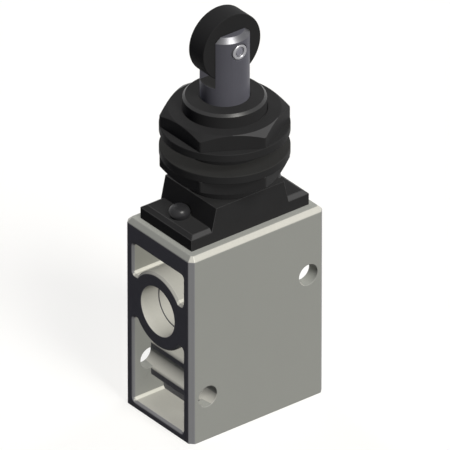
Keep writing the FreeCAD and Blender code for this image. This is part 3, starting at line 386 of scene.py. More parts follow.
def rounded_section(corners: np.ndarray, rounding: np.ndarray, closed: bool) -> np.ndarray:
    """A section whose corners are turned into arcs.

    An arc touches both edges of its corner at the rounding times the tangent of half the turn there. Its
    points are the touching point, turned about the arc's centre in even steps through the corner's turn.

    Args:
        corners: array (corners, columns, 2) of radius and height, where columns may be 1.
        rounding: radius of the arc at each corner.
        closed: whether the last corner joins the first. If it doesn't, both ends stay sharp.

    Returns:
        Array (corners times steps, columns, 2) of radius and height.
    """
    radius = rounding[:, None]
    if not closed:
        radius = radius.copy()
        radius[[0, -1]] = 0
    inward = unit(corners - np.roll(corners, 1, axis=0))
    outward = unit(np.roll(corners, -1, axis=0) - corners)
    cross = inward[..., 0] * outward[..., 1] - inward[..., 1] * outward[..., 0]
    turn = np.arctan2(cross, (inward * outward).sum(axis=-1))
    reach = radius * np.tan(np.abs(turn) / 2)
    touch = corners - inward * reach[..., None]
    left = np.stack([-inward[..., 1], inward[..., 0]], axis=-1)
    centre = touch + left * (radius * np.sign(turn))[..., None]
    angle = turn[:, None] * np.linspace(0, 1, ARC_STEPS)[None, :, None]
    spoke = np.broadcast_to((touch - centre)[:, None], angle.shape + (2,))
    turned = np.stack([
        spoke[..., 0] * np.cos(angle) - spoke[..., 1] * np.sin(angle),
        spoke[..., 0] * np.sin(angle) + spoke[..., 1] * np.cos(angle)], axis=-1)
    points = centre[:, None] + turned
    return points.reshape(-1, points.shape[2], 2)


def put_in_scene(name: str, data: bpy.types.ID) -> bpy.types.Object:
    """Make an object, and link it to the scene.

    Args:
        name: the object's name.
        data: its mesh, light or camera.

    Returns:
        The object.
    """
    made = bpy.data.objects.new(name, data)
    bpy.context.scene.collection.objects.link(made)
    return made


def turn_toward(thing: bpy.types.Object, direction: Vector) -> None:
    """Turn a lamp or a camera so that it looks along a direction."""
    thing.rotation_mode = "QUATERNION"
    thing.rotation_quaternion = direction.to_track_quat("-Z", "Y")


@contextmanager
def edited(mesh: bpy.types.Mesh) -> Iterator[bmesh.types.BMesh]:
    """Open a mesh for editing, and put the edited shape back at the end of the block.

    Args:
        mesh: the mesh.

    Yields:
        The mesh in its form for editing.
    """
    sheet = bmesh.new()
    sheet.from_mesh(mesh)
    yield sheet
    sheet.to_mesh(mesh)
    sheet.free()


def new_object(
        name: str, points: np.ndarray, faces: np.ndarray,
        finishes: np.ndarray | None = None) -> bpy.types.Object:
    """An object of a surface whose doubled points are merged and whose faces point outwards.

    Args:
        name: the piece's name.
        points: array of places in metres.
        faces: array of point numbers, three or four for each face.
        finishes: number of each face's finish, or nothing if it has only one.

    Returns:
        The object, with smooth faces.
    """
    mesh = bpy.data.meshes.new(name)
    mesh.from_pydata(points.reshape(-1, 3).tolist(), [], faces.tolist())
    if finishes is not None:
        mesh.polygons.foreach_set("material_index", finishes.astype(np.int32))
    with edited(mesh) as sheet:
        bmesh.ops.remove_doubles(sheet, verts=sheet.verts, dist=MERGE_DISTANCE)
        bmesh.ops.recalc_face_normals(sheet, faces=sheet.faces)
    mesh.shade_smooth()
    return put_in_scene(name, mesh)


def turned_object(name: str, corners: list[Corner], foot: float, across: bool = False) -> bpy.types.Object:
    """A surface of revolution about the valve's axis, or about an axle that lies along Y.

    A point of the section at radius r and height h goes to (r cos a, r sin a, foot + h) for each angle a, or
    to (r cos a, h, foot + r sin a) for an axle. A section that starts off the axis is a loop.

    Args:
        name: the piece's name.
        corners: the section, in millimetres.
        foot: height of the section's zero, or of the axle's middle line, in millimetres.
        across: whether the axis lies along Y.

    Returns:
        The object.
    """
    table = np.array([each[:3] for each in corners])
    closed = corners[0].radius > 0
    section = rounded_section(table[:, None, :2], table[:, 2], closed)
    return swept_object(name, section, foot, closed, ROUND_ANGLES, across, [each.finish for each in corners])


def swept_object(
        name: str, section: np.ndarray, foot: float, closed: bool, angles: np.ndarray,
        across: bool = False, finishes: list[int] | None = None) -> bpy.types.Object:
    """The surface of a section that may change from angle to angle, as turned_object says it.

    Args:
        name: the piece's name.
        section: array (points, columns, 2) of radius and height in millimetres, where columns may be 1.
        foot: height of the section's zero, or of the axle's middle line, in millimetres.
        closed: whether the section is a loop.
        angles: the angle of each column.
        across: whether the axis lies along Y.
        finishes: for each corner of the section, the finish number of its rounding and the next stretch.

    Returns:
        The object.
    """
    radius, height = np.broadcast_arrays(section[..., 0], section[..., 1])
    radius, height, turn = np.broadcast_arrays(radius, height, angles[None, :])
    flat, rise = radius * np.cos(turn), radius * np.sin(turn)
    places = (flat, height, rise + foot) if across else (flat, rise, height + foot)
    points = np.stack(places, axis=-1) * MM
    faces = grid_faces(points.shape[0], points.shape[1], closed, True)
    if finishes is None:
        return new_object(name, points, faces)
    rows = np.repeat(finishes, ARC_STEPS)[:len(faces) // points.shape[1]]
    return new_object(name, points, faces, np.repeat(rows, points.shape[1]))


def groove(face: float, floor: float, start: float, end: float, soft: float) -> list[Corner]:
    """The four corners of a groove or a collar, from where it leaves the face to where it comes back.

    Args:
        face: radius of the face that it is cut into or stands on.
        floor: radius of its floor or rim.
        start: height of its first side.
        end: height of its last side.
        soft: rounding of its corners.

    Returns:
        The corners.
    """
    return [
        Corner(face, start, soft), Corner(floor, start, soft),
        Corner(floor, end, soft), Corner(face, end, soft)]


def read_rows(
        rows: bpy.types.bpy_prop_collection, field: str, width: int = 3, kind: type = float) -> np.ndarray:
    """One field of all the vertices, loops or faces of a mesh.

    Args:
        rows: the vertices, loops or faces.
        field: the field's name.
        width: how many numbers the field has.
        kind: type of the numbers.

    Returns:
        Array (rows, width), or (rows,) for a width of 1.
    """
    values = np.empty(len(rows) * width, dtype=kind)
    rows.foreach_get(field, values)
    return values.reshape(-1, width) if width > 1 else values


def dress_faces(mesh: bpy.types.Mesh, chosen: np.ndarray, finish: int) -> None:
    """Give chosen faces of a mesh another of its finishes.

    Args:
        mesh: the mesh.
        chosen: for each face, whether it is chosen.
        finish: number of the finish.
    """
    finishes = read_rows(mesh.polygons, "material_index", 1, np.int32)
    finishes[chosen] = finish
    mesh.polygons.foreach_set("material_index", finishes)


def node_foot(node: str) -> float:
    """Height of a node's underside in millimetres."""
    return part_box(node)[0].z / MM


def node_height(node: str) -> float:
    """Height of a node from its foot to its top in millimetres."""
    return node_size(node)[2]


def node_size(node: str) -> np.ndarray:
    """Extent of a node along X, Y and Z in millimetres."""
    low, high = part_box(node)
    return np.subtract(high, low) / MM


def node_middle(node: str) -> np.ndarray:
    """Middle of a node's box in millimetres."""
    low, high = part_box(node)
    return np.add(low, high) / 2 / MM


def node_points(node: str) -> tuple[np.ndarray, np.ndarray]:
    """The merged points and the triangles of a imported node.

    Points that agree to a tenth of a micrometre are one.

    Args:
        node: the node's name.

    Returns:
        The points in metres, and three point numbers for each triangle.
    """
    mesh = frame["nodes"][node].data
    places = read_rows(mesh.vertices, "co", kind=np.float32)
    corners = read_rows(mesh.loops, "vertex_index", 1, np.int32)
    keys = np.round(places / MERGE_DISTANCE).astype(np.int64)
    _, first, merged = np.unique(keys, axis=0, return_index=True, return_inverse=True)
    triangles = merged.reshape(-1)[corners].reshape(-1, 3)
    distinct = (triangles != np.roll(triangles, 1, axis=1)).all(axis=1)
    return places[first], triangles[distinct]


def merged_object(name: str, node: str) -> bpy.types.Object:
    """A whole surface from a node's loose triangles, with its flat stretches joined into single faces.

    Args:
        name: the piece's name.
        node: the node whose shape it has.

    Returns:
        The object.
    """
    points, triangles = node_points(node)
    made = new_object(name, points, triangles)
    with edited(made.data) as sheet:
        bmesh.ops.dissolve_limit(
            sheet, angle_limit=FLAT_ANGLE, use_dissolve_boundaries=False,
            verts=sheet.verts, edges=sheet.edges, delimit={"NORMAL"})
    made.data.shade_smooth()
    return made


def box_object(name: str, low: tuple[float, ...], high: tuple[float, ...]) -> bpy.types.Object:
    """A plain box for cutting with. Each of its eight points takes its coordinates from two corners.

    Args:
        name: the cutter's name.
        low: its corner with the least coordinates, in millimetres.
        high: its corner with the greatest coordinates, in millimetres.

    Returns:
        The box.
    """
    ends = np.array([low, high]) * MM
    choice = np.array([
        [0, 0, 0], [1, 0, 0], [1, 1, 0], [0, 1, 0],
        [0, 0, 1], [1, 0, 1], [1, 1, 1], [0, 1, 1]])
    points = np.take_along_axis(ends, choice, axis=0)
    faces = np.array([[0, 3, 2, 1], [4, 5, 6, 7], [0, 1, 5, 4], [1, 2, 6, 5], [2, 3, 7, 6], [3, 0, 4, 7]])
    return new_object(name, points, faces)


def ease_edges(piece: bpy.types.Object, width: float, edge_slot: int = -1) -> None:
    """Round the sharp outer edges of a piece a little, and keep its inner corners crisp.

    Args:
        piece: the piece.
        width: width of the rounding in millimetres.
        edge_slot: number of the material that the rounding takes, or -1 for that of its neighbours.
    """
    with edited(piece.data) as sheet:
        layers = sheet.edges.layers.float
        weight = layers.get("bevel_weight_edge") or layers.new("bevel_weight_edge")
        for edge in sheet.edges:
            sharp = edge.calc_face_angle(0.0) > SHARP_ANGLE
            edge[weight] = 1.0 if sharp and edge.is_convex else 0.0
            edge.smooth = not sharp or edge.is_convex
    bevel = piece.modifiers.new("eased_edges", "BEVEL")
    bevel.width = width * MM
    bevel.segments = 2
    bevel.limit_method = "WEIGHT"
    bevel.use_clamp_overlap = False
    bevel.harden_normals = True
    bevel.material = edge_slot


def even_shading(piece: bpy.types.Object) -> None:
    """Let the larger faces lead the shading, so that flats look flat beside small roundings."""
    normals = piece.modifiers.new("even_shading", "WEIGHTED_NORMAL")
    normals.keep_sharp = True


def cut_away(piece: bpy.types.Object, cutters: list[bpy.types.Object]) -> None:
    """Cut closed shapes out of a piece for good, and remove the cutters.

    Args:
        piece: the piece.
        cutters: the shapes to cut out of it.
    """
    for cutter in cutters:
        cut = piece.modifiers.new("cut", "BOOLEAN")
        cut.operation = "DIFFERENCE"
        cut.solver = "EXACT"
        cut.object = cutter
    shown = piece.evaluated_get(bpy.context.evaluated_depsgraph_get())
    mesh = bpy.data.meshes.new_from_object(shown)
    piece.modifiers.clear()
    piece.data = mesh
    for cutter in cutters:
        bpy.data.objects.remove(cutter)


def install(piece: bpy.types.Object, node: str, *finishes: Finish) -> bpy.types.Object:
    """Dress a piece, and let it stand for a node on that node's body.

    Args:
        piece: the piece.
        node: the node that it stands for.
        finishes: its finishes, or that of the node's material slot if there are none.

    Returns:
        The piece.
    """
    slot = SLOT_OF_NODE[node]
    numbers = read_rows(piece.data.polygons, "material_index", 1, np.int32)
    piece.data.materials.clear()
    for finish in finishes or (FINISH_OF_SLOT[slot],):
        piece.data.materials.append(finish.material())
    piece.data.polygons.foreach_set("material_index", numbers)
    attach(piece, frame["nodes"][node]["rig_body"])
    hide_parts(node)
    LOG.info("%s: %d faces, stands for %s", piece.name, len(piece.data.polygons), node)
    return piece


def turned_piece(name: str, node: str, section: list[Corner], *finishes: Finish) -> bpy.types.Object:
    """Turn a piece about the valve's axis, from its node's foot up, and dress it.

    Args:
        name: the piece's name.
        node: the node that it stands for.
        section: its section, whose zero is the node's foot.
        finishes: its finishes, if they aren't its material slot's.

    Returns:
        The piece.
    """
    piece = install(turned_object(name, section, node_foot(node)), node, *finishes)
    even_shading(piece)
    return piece


def merged_piece(
        name: str, node: str, edge: float, *finishes: Finish, edge_slot: int = -1) -> bpy.types.Object:
    """Dress a piece that keeps its node's own shape, with its outer edges eased.

    Args:
        name: the piece's name.
        node: the node that it stands for.
        edge: width of the eased edges in millimetres.
        finishes: its finishes, if they aren't its material slot's.
        edge_slot: number of the finish of the eased edges, or -1 for that of their neighbours.

    Returns:
        The piece.
    """
    piece = install(merged_object(name, node), node, *finishes)
    ease_edges(piece, edge, edge_slot)
    even_shading(piece)
    return piece


def mould_seal(node: str, middle: float, section: float) -> None:
    """Mould a round seal ring in a node's place.

    A point of it lies at the middle radius plus the section's radius times the cosine of an angle, and as
    high as the ring's middle plus the section's radius times that angle's sine.

    Args:
        node: the node that it stands for.
        middle: radius of the ring's middle line.
        section: radius of its section.
    """
    out, up = section * np.cos(SEAL_ANGLES)[:, None], section * np.sin(SEAL_ANGLES)[:, None]
    outline = np.stack([middle + out, section + up], axis=-1)
    install(swept_object(node + "_moulded", outline, node_foot(node), True, ROUND_ANGLES), node)


def paint_chamfer_highlights(mesh: bpy.types.Mesh, finish: int, flattest: float) -> None:
    """Paint a highlight, as a lighter finish, on the chamfers of a piece that look along Y and aslant up or
    down.

    On a nut they lie within 30 degrees of Y, from the middle of one flat to the middle of the next.

    Args:
        mesh: the mesh of the piece.
        finish: number of the finish.
        flattest: the upright part of a face's direction from which it is a flat, and no chamfer.
    """
    steepest, spread = 0.5, math.tan(math.radians(30))
    along, across, up = np.abs(read_rows(mesh.polygons, "normal")).T
    dress_faces(mesh, (up > steepest) & (up < flattest) & (along < spread * across), finish)


class CastingFace(IntEnum):
    """The kinds of face on the casting, in the order of their finishes."""

    GROUND = 0
    MACHINED_AND_PAINTED_HIGHLIGHT = 1
    CORED = 2
    PAINTED_SHADE_END = 3
    CORNER_PAINTED_SHADE = 4
    PAINTED_LIGHT = 5
    PAINTED_HIGHLIGHT = 6


@dataclass
class ValveBody:
    """The cast body with its ports, cored ends and mounting holes."""

    edge_width: float = 0.11
    core_foot: float = 1.3
    core_roof: float = 31.8
    core_half_width: float = 6.7
    core_end: float = 7.6
    painted_highlight_from: float = 5.2
    mouth_depth: float = 0.5
    outlet_height: float = 21.8
    supply_height: float = 10.8
    port_radius: float = 4.6
    hole_inset: float = 3.5
    hole_radius: float = 1.925
    lower_hole_height: float = 8.33
    upper_hole_height: float = 23.95
    chamfer_height: float = 0.9
    steepest: float = 0.95
    slant: float = 0.2
    touching: float = 0.05

    def build(self) -> None:
        """Dress the casting, each kind of face with its own finish."""
        casting = merged_piece(
            "valve_body_casting", "valve_body", self.edge_width,
            CAST_ALUMINIUM, MACHINED_AND_PAINTED_HIGHLIGHT, CAST_INSIDE, CAST_END_PAINTED_SHADE, CAST_CORNER_PAINTED_SHADE, CAST_PAINTED_LIGHT, CAST_PAINTED_HIGHLIGHT)
        casting.data.polygons.foreach_set("material_index", self.face_kinds(casting.data))

    def face_kinds(self, mesh: bpy.types.Mesh) -> np.ndarray:
        """The kind of each face.

        A face that looks along X, but is not part of a mounting hole, has painted shade: a darker, bluer
        finish for the shade that the ends lie in. The upright chamfers of the body and those round the mouths
        of the pockets look partly along X, lie close to an end and have a lighter painted shade. The long
        chamfers of the top look partly along Y and partly up, lie close to the top and are machined, with a
        lighter colour that is partly a painted highlight. The bores of the ports and what looks up in a cored
        end have painted light. The roundings along the pockets' long lower corners look partly along Y and
        partly up, lie close to the walls and have a painted highlight. What else lies in a cored end is rough
        from its core, and the rest is ground.

        Args:
            mesh: the casting's mesh.

        Returns:
            Array of kinds, as numbers.
        """
        normals, centres = read_rows(mesh.polygons, "normal"), read_rows(mesh.polygons, "center") / MM
        up, normals = normals[:, 2], np.abs(normals)
        across, along, height = np.abs(centres[:, 1]), np.abs(centres[:, 0]), centres[:, 2]
        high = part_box("valve_body")[1] / MM
        outlet_end = centres[:, 0] < 0
        hole_height = np.where(outlet_end, self.lower_hole_height, self.upper_hole_height)
        hole_reach = np.hypot(along - high.x + self.hole_inset, height - hole_height)
        hole = hole_reach < self.hole_radius + self.touching
        port_height = np.where(outlet_end, self.outlet_height, self.supply_height)
        bore = np.hypot(across, height - port_height) < self.port_radius
        cored = (
            (across < self.core_half_width) & (along > self.core_end)
            & (height > self.core_foot) & (height < self.core_roof))
        near_top = height > high.z - self.chamfer_height
        # The machined top chamfers get a lighter colour that is partly a painted highlight.
        long_chamfer = near_top & (normals[:, 1] > self.slant) & (normals[:, 2] > self.slant)
        # Painted shade: faces that look along X at the ends are darker and bluer, the chamfers among them
        # less so.
        corner = (normals[:, 0] > self.slant) & (along > high.x - self.mouth_depth) & ~near_top
        flat_end = (normals[:, 0] > self.steepest) & ~hole
        # Painted light: what looks up inside a cored end, and the ports' bores, are lighter.
        open_above = cored & (up > self.slant)
        # Painted highlight on the roundings along the pockets' long lower corners.
        painted_highlight_mask = open_above & (normals[:, 1] > self.slant) & (across > self.painted_highlight_from) & ~hole
        kinds = np.select(
            [flat_end, long_chamfer, painted_highlight_mask, (bore & cored) | open_above, corner, hole, cored],
            [CastingFace.PAINTED_SHADE_END, CastingFace.MACHINED_AND_PAINTED_HIGHLIGHT, CastingFace.PAINTED_HIGHLIGHT, CastingFace.PAINTED_LIGHT,
             CastingFace.CORNER_PAINTED_SHADE, CastingFace.GROUND, CastingFace.CORED], CastingFace.GROUND)
        return kinds.astype(np.int32)


@dataclass
class BottomClosure:
    """The plug in the underside, its seal and the spring ring under it."""

    plug_radius: float = 5.98
    plug_lead_in: float = 0.4
    dimple_radius: float = 2.5
    dimple_depth: float = 0.5
    dimple_rounding: float = 0.2
    groove_radius: float = 4.5
    groove_foot: float = 2.1
    groove_top: float = 3.9
    rod_hole_radius: float = 1.96
    rod_hole_foot: float = 1.5
    soft: float = 0.08
    ring_edge: float = 0.12
    seal_section: float = 0.75
    seal_radius: float = 5.25

    def build(self) -> None:
        """Build the plug, the seal ring and the retaining ring."""
        height = node_height("bottom_plug")
        radius, lead_in, soft = self.plug_radius, self.plug_lead_in, self.soft
        section = [
            Corner(0, self.dimple_depth),
            Corner(self.dimple_radius, self.dimple_depth, self.dimple_rounding),
            Corner(self.dimple_radius + self.dimple_depth, 0, soft),
            Corner(radius - lead_in, 0, soft),
            Corner(radius, lead_in, soft),
            *groove(radius, self.groove_radius, self.groove_foot, self.groove_top, soft),
            Corner(radius, height, soft),
            Corner(self.rod_hole_radius, height, soft),
            Corner(self.rod_hole_radius, self.rod_hole_foot, soft),
            Corner(0, self.rod_hole_foot),
        ]
        turned_piece("bottom_plug_turned", "bottom_plug", section)
        mould_seal("plug_seal", self.seal_radius, self.seal_section)
        merged_piece("plug_retaining_ring_stamped", "plug_retaining_ring", self.ring_edge)


@dataclass
class CoilSpring:
    """A compression spring with closed ends."""

    node: str
    joint: str
    wire: float
    mean_radius: float
    turns: float
    travel: float
    closed_share: float = 0.75
    steps_per_turn: int = 40
    around_wire: int = 14

    def build(self) -> None:
        """Wind the spring, and set it in its node's place."""
        foot, length = node_foot(self.node), node_height(self.node)
        points = self.wound_points(foot, length)
        faces = grid_faces(points.shape[0], points.shape[1], False, True)
        coil = new_object(self.node + "_wound", points * MM, faces)
        install(coil, self.node)
        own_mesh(coil)

    def wound_points(self, foot: float, length: float) -> np.ndarray:
        """The wire's surface.

        The middle line turns evenly about the axis. Its rise is nothing over the closed turn at each end, and
        even between them. Each ring of points is a circle in the plane through the axis, and the first and
        last rings are drawn in to their middles, which closes the ends.

        Args:
            foot: height of the spring's underside.
            length: height of the spring.

        Returns:
            Array (steps, points round the wire, 3) in millimetres.
        """
        steps = int(self.turns * self.steps_per_turn) + 1
        share = np.linspace(0, 1, steps)
        share = np.concatenate([[0], share, [1]])
        angle = 2 * np.pi * self.turns * share
        flat = self.closed_share / self.turns
        rise = np.clip((share - flat) / (1 - 2 * flat), 0, 1)
        height = foot + self.wire / 2 + (length - self.wire) * rise
        thickness = np.full(len(share), self.wire / 2)
        thickness[[0, -1]] = 0
        around = np.linspace(0, 2 * np.pi, self.around_wire, endpoint=False)[None, :]
        radius = self.mean_radius + thickness[:, None] * np.cos(around)
        level = height[:, None] + thickness[:, None] * np.sin(around)
        return np.stack([radius * np.cos(angle)[:, None], radius * np.sin(angle)[:, None], level], axis=-1)


@dataclass
class PoppetGroup:
    """The poppet with its rubber face, and its spring."""

    rod_radius: float = 1.9
    rod_length: float = 7.1
    head_radius: float = 4.3
    rim_height: float = 8.9
    cup_radius: float = 3.72
    cup_floor: float = 7.9
    edge: float = 0.25
    neck_rounding: float = 0.1
    rim_edge: float = 0.08
    cup_edge: float = 0.05
    face_radius: float = 3.7

    def build(self) -> None:
        """Build the poppet, its face and its spring."""
        section = [
            Corner(0, 0),
            Corner(self.rod_radius, 0, self.edge),
            Corner(self.rod_radius, self.rod_length, self.neck_rounding),
            Corner(self.head_radius, self.rod_length, self.edge),
            Corner(self.head_radius, self.rim_height, self.rim_edge),
            Corner(self.cup_radius, self.rim_height, self.cup_edge),
            Corner(self.cup_radius, self.cup_floor),
            Corner(0, self.cup_floor),
        ]
        turned_piece("poppet_turned", "poppet", section)
        height = node_height("poppet_seal")
        face = [
            Corner(0, 0),
            Corner(self.face_radius, 0),
            Corner(self.face_radius, height, self.edge),
            Corner(0, height),
        ]
        turned_piece("poppet_seal_moulded", "poppet_seal", face)
        CoilSpring("poppet_spring", "poppet_open", wire=0.55, mean_radius=3.0, turns=3.0, travel=2.3).build()


@dataclass
class StemCartridge:
    """The brass guide in the head end of the body, its two seals and the return spring that stands in it."""

    outer_radius: float = 5.98
    lead_in: float = 0.4
    hole_radius: float = 2.06
    groove_radius: float = 4.5
    groove_foot: float = 4.7
    groove_top: float = 6.5
    inner_groove_radius: float = 3.56
    inner_groove_foot: float = 1.1
    inner_groove_top: float = 2.9
    well_radius: float = 4.6
    well_depth: float = 1.6
    soft: float = 0.08
    seal_section: float = 0.75
    outer_seal_radius: float = 5.25
    stem_seal_radius: float = 2.81

    def build(self) -> None:
        """Build the guide, its seals and the return spring."""
        height, soft = node_height("stem_guide"), self.soft
        outer, hole = self.outer_radius, self.hole_radius
        section = [
            Corner(hole, 0, soft),
            Corner(outer - self.lead_in, 0, soft),
            Corner(outer, self.lead_in, soft),
            *groove(outer, self.groove_radius, self.groove_foot, self.groove_top, soft),
            Corner(outer, height, soft),
            Corner(self.well_radius, height, soft),
            Corner(self.well_radius, height - self.well_depth, soft),
            Corner(hole, height - self.well_depth, soft),
            *groove(hole, self.inner_groove_radius, self.inner_groove_top, self.inner_groove_foot, soft),
        ]
        turned_piece("stem_guide_turned", "stem_guide", section)
        mould_seal("guide_seal", self.outer_seal_radius, self.seal_section)
        mould_seal("stem_seal", self.stem_seal_radius, self.seal_section)
        CoilSpring(
            "return_spring", "plunger_press", wire=0.9, mean_radius=3.65, turns=5.5, travel=3.0).build()


@dataclass
class Head:
    """The black head block with its pins, and the sleeve with its wiper."""

    block_edge: float = 0.08
    spigot_radius: float = 5.9
    spigot_length: float = 4.0
    sleeve_radius: float = 7.0
    sleeve_chamfer: float = 0.45
    sleeve_root: float = 0.12
    sleeve_mouth: float = 0.05
    sleeve_soft: float = 0.06
    bore_radius: float = 5.0
    guide_radius: float = 4.21
    guide_length: float = 6.3
    wiper_radius: float = 5.01
    wiper_offset: float = 1.4
    wiper_height: float = 1.2
    wiper_lip: float = 0.3
    wiper_lip_share: float = 0.2
    wiper_lip_rounding: float = 0.1
    wiper_clearance: float = 0.02
    wiper_edge: float = 0.05
    pin_shank_radius: float = 1.1
    pin_lead_in: float = 0.3
    pin_foot_edge: float = 0.1
    pin_foot_radius: float = 1.65
    pin_belly_radius: float = 1.85
    pin_belly_height: float = 0.8
    pin_head_height: float = 1.8
    pin_flat_radius: float = 1.15
    pin_dome_radius: float = 1.4

    def build(self) -> None:
        """Build the block, the sleeve, the wiper and the two pins."""
        block = merged_piece(
            "head_block_coated", "head_block", self.block_edge,
            BLACK_COAT, BLACK_EDGE, BLACK_PAINTED_HIGHLIGHT, edge_slot=1)
        # Painted highlight on the block's lug chamfers that look along Y and aslant.
        paint_chamfer_highlights(block.data, finish=2, flattest=0.9)
        self.build_sleeve()
        self.build_wiper()
        for node in ("head_pin_left", "head_pin_right"):
            self.build_pin(node)

    def build_sleeve(self) -> None:
        """Turn the sleeve, with the bright chamfer at its mouth."""
        top, soft = node_height("threaded_sleeve"), self.sleeve_soft
        wiper_top = top - self.wiper_offset
        section = [
            Corner(self.bore_radius, 0, soft),
            Corner(self.spigot_radius, 0, soft),
            Corner(self.spigot_radius, self.spigot_length, soft),
            Corner(self.sleeve_radius, self.spigot_length, self.sleeve_root),
            Corner(self.sleeve_radius, top - self.sleeve_chamfer, soft, 1),
            Corner(self.sleeve_radius - self.sleeve_chamfer, top, soft),
            Corner(self.guide_radius, top, self.sleeve_mouth),
            *groove(self.guide_radius, self.wiper_radius, wiper_top, wiper_top - self.wiper_height, soft),
            Corner(self.guide_radius, top - self.guide_length, soft),
            Corner(self.bore_radius, top - self.guide_length, soft),
        ]
        turned_piece("sleeve_turned", "threaded_sleeve", section, BLACK_STEEL, BLACK_EDGE)

    def build_wiper(self) -> None:
        """Mould the wiper ring in the sleeve's groove."""
        height, edge = node_height("sleeve_wiper"), self.wiper_edge
        outer, back = self.wiper_radius - self.wiper_clearance, self.guide_radius + self.wiper_lip
        section = groove(back, outer, 0, height, edge)
        for share in (1 + self.wiper_lip_share, 1 - self.wiper_lip_share):
            section.append(Corner(self.guide_radius, height / 2 * share, self.wiper_lip_rounding))
        turned_piece("sleeve_wiper_moulded", "sleeve_wiper", section)

    def pin_dome_corner(self) -> tuple[float, float]:
        """The corner that the dome of a pin rounds off.

        It lies out from the middle of the chord from the belly to the flat, square to that chord, by half the
        chord times the tangent of the angle whose sine is half the chord over the dome's radius.

        Returns:
            Its radius, and its height above the pin's seat.
        """
        inward = self.pin_belly_radius - self.pin_flat_radius
        rise = self.pin_head_height - self.pin_belly_height
        half_chord = math.hypot(inward, rise) / 2
        reach = half_chord * math.tan(math.asin(half_chord / self.pin_dome_radius))
        radius = (self.pin_belly_radius + self.pin_flat_radius) / 2 + reach * rise / (2 * half_chord)
        height = (self.pin_belly_height + self.pin_head_height) / 2 + reach * inward / (2 * half_chord)
        return radius, height

    def build_pin(self, node: str) -> None:
        """Turn one domed pin.

        Args:
            node: the node of the pin.
        """
        seat = node_height(node) - self.pin_head_height
        dome_radius, dome_height = self.pin_dome_corner()
        section = [
            Corner(0, 0),
            Corner(self.pin_shank_radius, 0, self.pin_lead_in),
            Corner(self.pin_shank_radius, seat),
            Corner(self.pin_foot_radius, seat, self.pin_foot_edge),
            Corner(self.pin_belly_radius, seat + self.pin_belly_height),
            Corner(dome_radius, seat + dome_height, self.pin_dome_radius),
            Corner(self.pin_flat_radius, seat + self.pin_head_height),
            Corner(0, seat + self.pin_head_height),
        ]
        pin = turned_piece(node + "_domed", node, section, PIN_BLACK)
        along, across, _ = node_middle(node) * MM
        pin.data.transform(Matrix.Translation((along, across, 0)))


@dataclass
class PanelClamp:
    """The two thin nuts and the two washers that hold the valve in a panel."""

    across_flats: float = 19.0
    corner_circle: float = 10.87
    bore_radius: float = 7.06
    bore_chamfer: float = 0.12
    chamfer_circle: float = 9.4
    chamfer_drop: float = 0.95
    washer_inner: float = 7.1
    washer_outer: float = 10.9
    washer_edge: float = 0.15
    edge: float = 0.07
    side_steps: int = 17
    corner_steps: int = 2
    sector: float = math.pi / 3

    def build(self) -> None:
        """Build both nuts, each with its chamfer away from the panel, and both washers."""
        self.build_nut("lower_nut", chamfer_up=False)
        self.build_nut("upper_nut", chamfer_up=True)
        # Painted light on each washer's clamp face: the lower one's top and the upper one's foot.
        for node, painted_light_on_foot in (("lower_washer", False), ("upper_washer", True)):
            thickness = node_height(node)
            section = [
                Corner(self.washer_inner, 0, self.edge, int(painted_light_on_foot)),
                Corner(self.washer_outer, 0, self.washer_edge),
                Corner(self.washer_outer, thickness, self.washer_edge, int(not painted_light_on_foot)),
                Corner(self.washer_inner, thickness, self.edge),
            ]
            turned_piece(node + "_turned", node, section, BLACK_STEEL, CLAMP_FACE_PAINTED_LIGHT)

    def hexagon_angles(self) -> np.ndarray:
        """Angles of the columns round a nut.

        Each of the six sides runs evenly from one end of its flat to the other, and each corner between two
        flats has a few more columns, where the corner circle cuts it.

        Returns:
            The angles in radians.
        """
        half = math.acos(self.across_flats / 2 / self.corner_circle)
        flat = np.linspace(-half, half, self.side_steps)
        corner = np.linspace(half, self.sector - half, self.corner_steps + 2)[1:-1]
        one_side = np.concatenate([flat, corner])
        starts = np.arange(round(2 * math.pi / self.sector)) * self.sector
        return np.add.outer(starts, one_side).ravel()

    def build_nut(self, node: str, chamfer_up: bool) -> None:
        """Build a nut.

        Its side lies at half the width over flats divided by the cosine of the angle from the nearest flat,
        and no further out than the corner circle. The chamfer falls evenly from its circle outwards, and
        meets the side where it reaches that radius.

        Args:
            node: the node of the nut.
            chamfer_up: whether the chamfered side looks up.
        """
        angles = self.hexagon_angles()
        thickness = node_height(node)
        nearest = (angles + self.sector / 2) % self.sector - self.sector / 2
        side = np.minimum(self.across_flats / 2 / np.cos(nearest), self.corner_circle)
        corner_radius = self.across_flats / math.sqrt(3)
        slope = self.chamfer_drop / (corner_radius - self.chamfer_circle)
        shoulder = thickness - slope * (side - self.chamfer_circle)
        bore, lip = self.bore_radius, self.bore_radius + self.bore_chamfer
        levels = [
            (bore, self.bore_chamfer),
            (lip, 0.0),
            (side, 0.0),
            (side, shoulder),
            (self.chamfer_circle, thickness),
            (lip, thickness),
            (bore, thickness - self.bore_chamfer),
        ]
        rows = [np.stack(np.broadcast_arrays(radius, height, side)[:2], axis=-1) for radius, height in levels]
        rounding = np.full(len(levels), self.edge)
        section = rounded_section(np.array(rows), rounding, closed=True)
        if not chamfer_up:
            section[..., 1] = thickness - section[..., 1]
        nut = swept_object(node + "_hexagon", section, node_foot(node), True, angles)
        install(nut, node, BLACK_HEXAGON, BLACK_PAINTED_HIGHLIGHT)
        # Painted highlight on the nut's chamfer where it looks along Y.
        paint_chamfer_highlights(nut.data, finish=1, flattest=0.95)
        even_shading(nut)


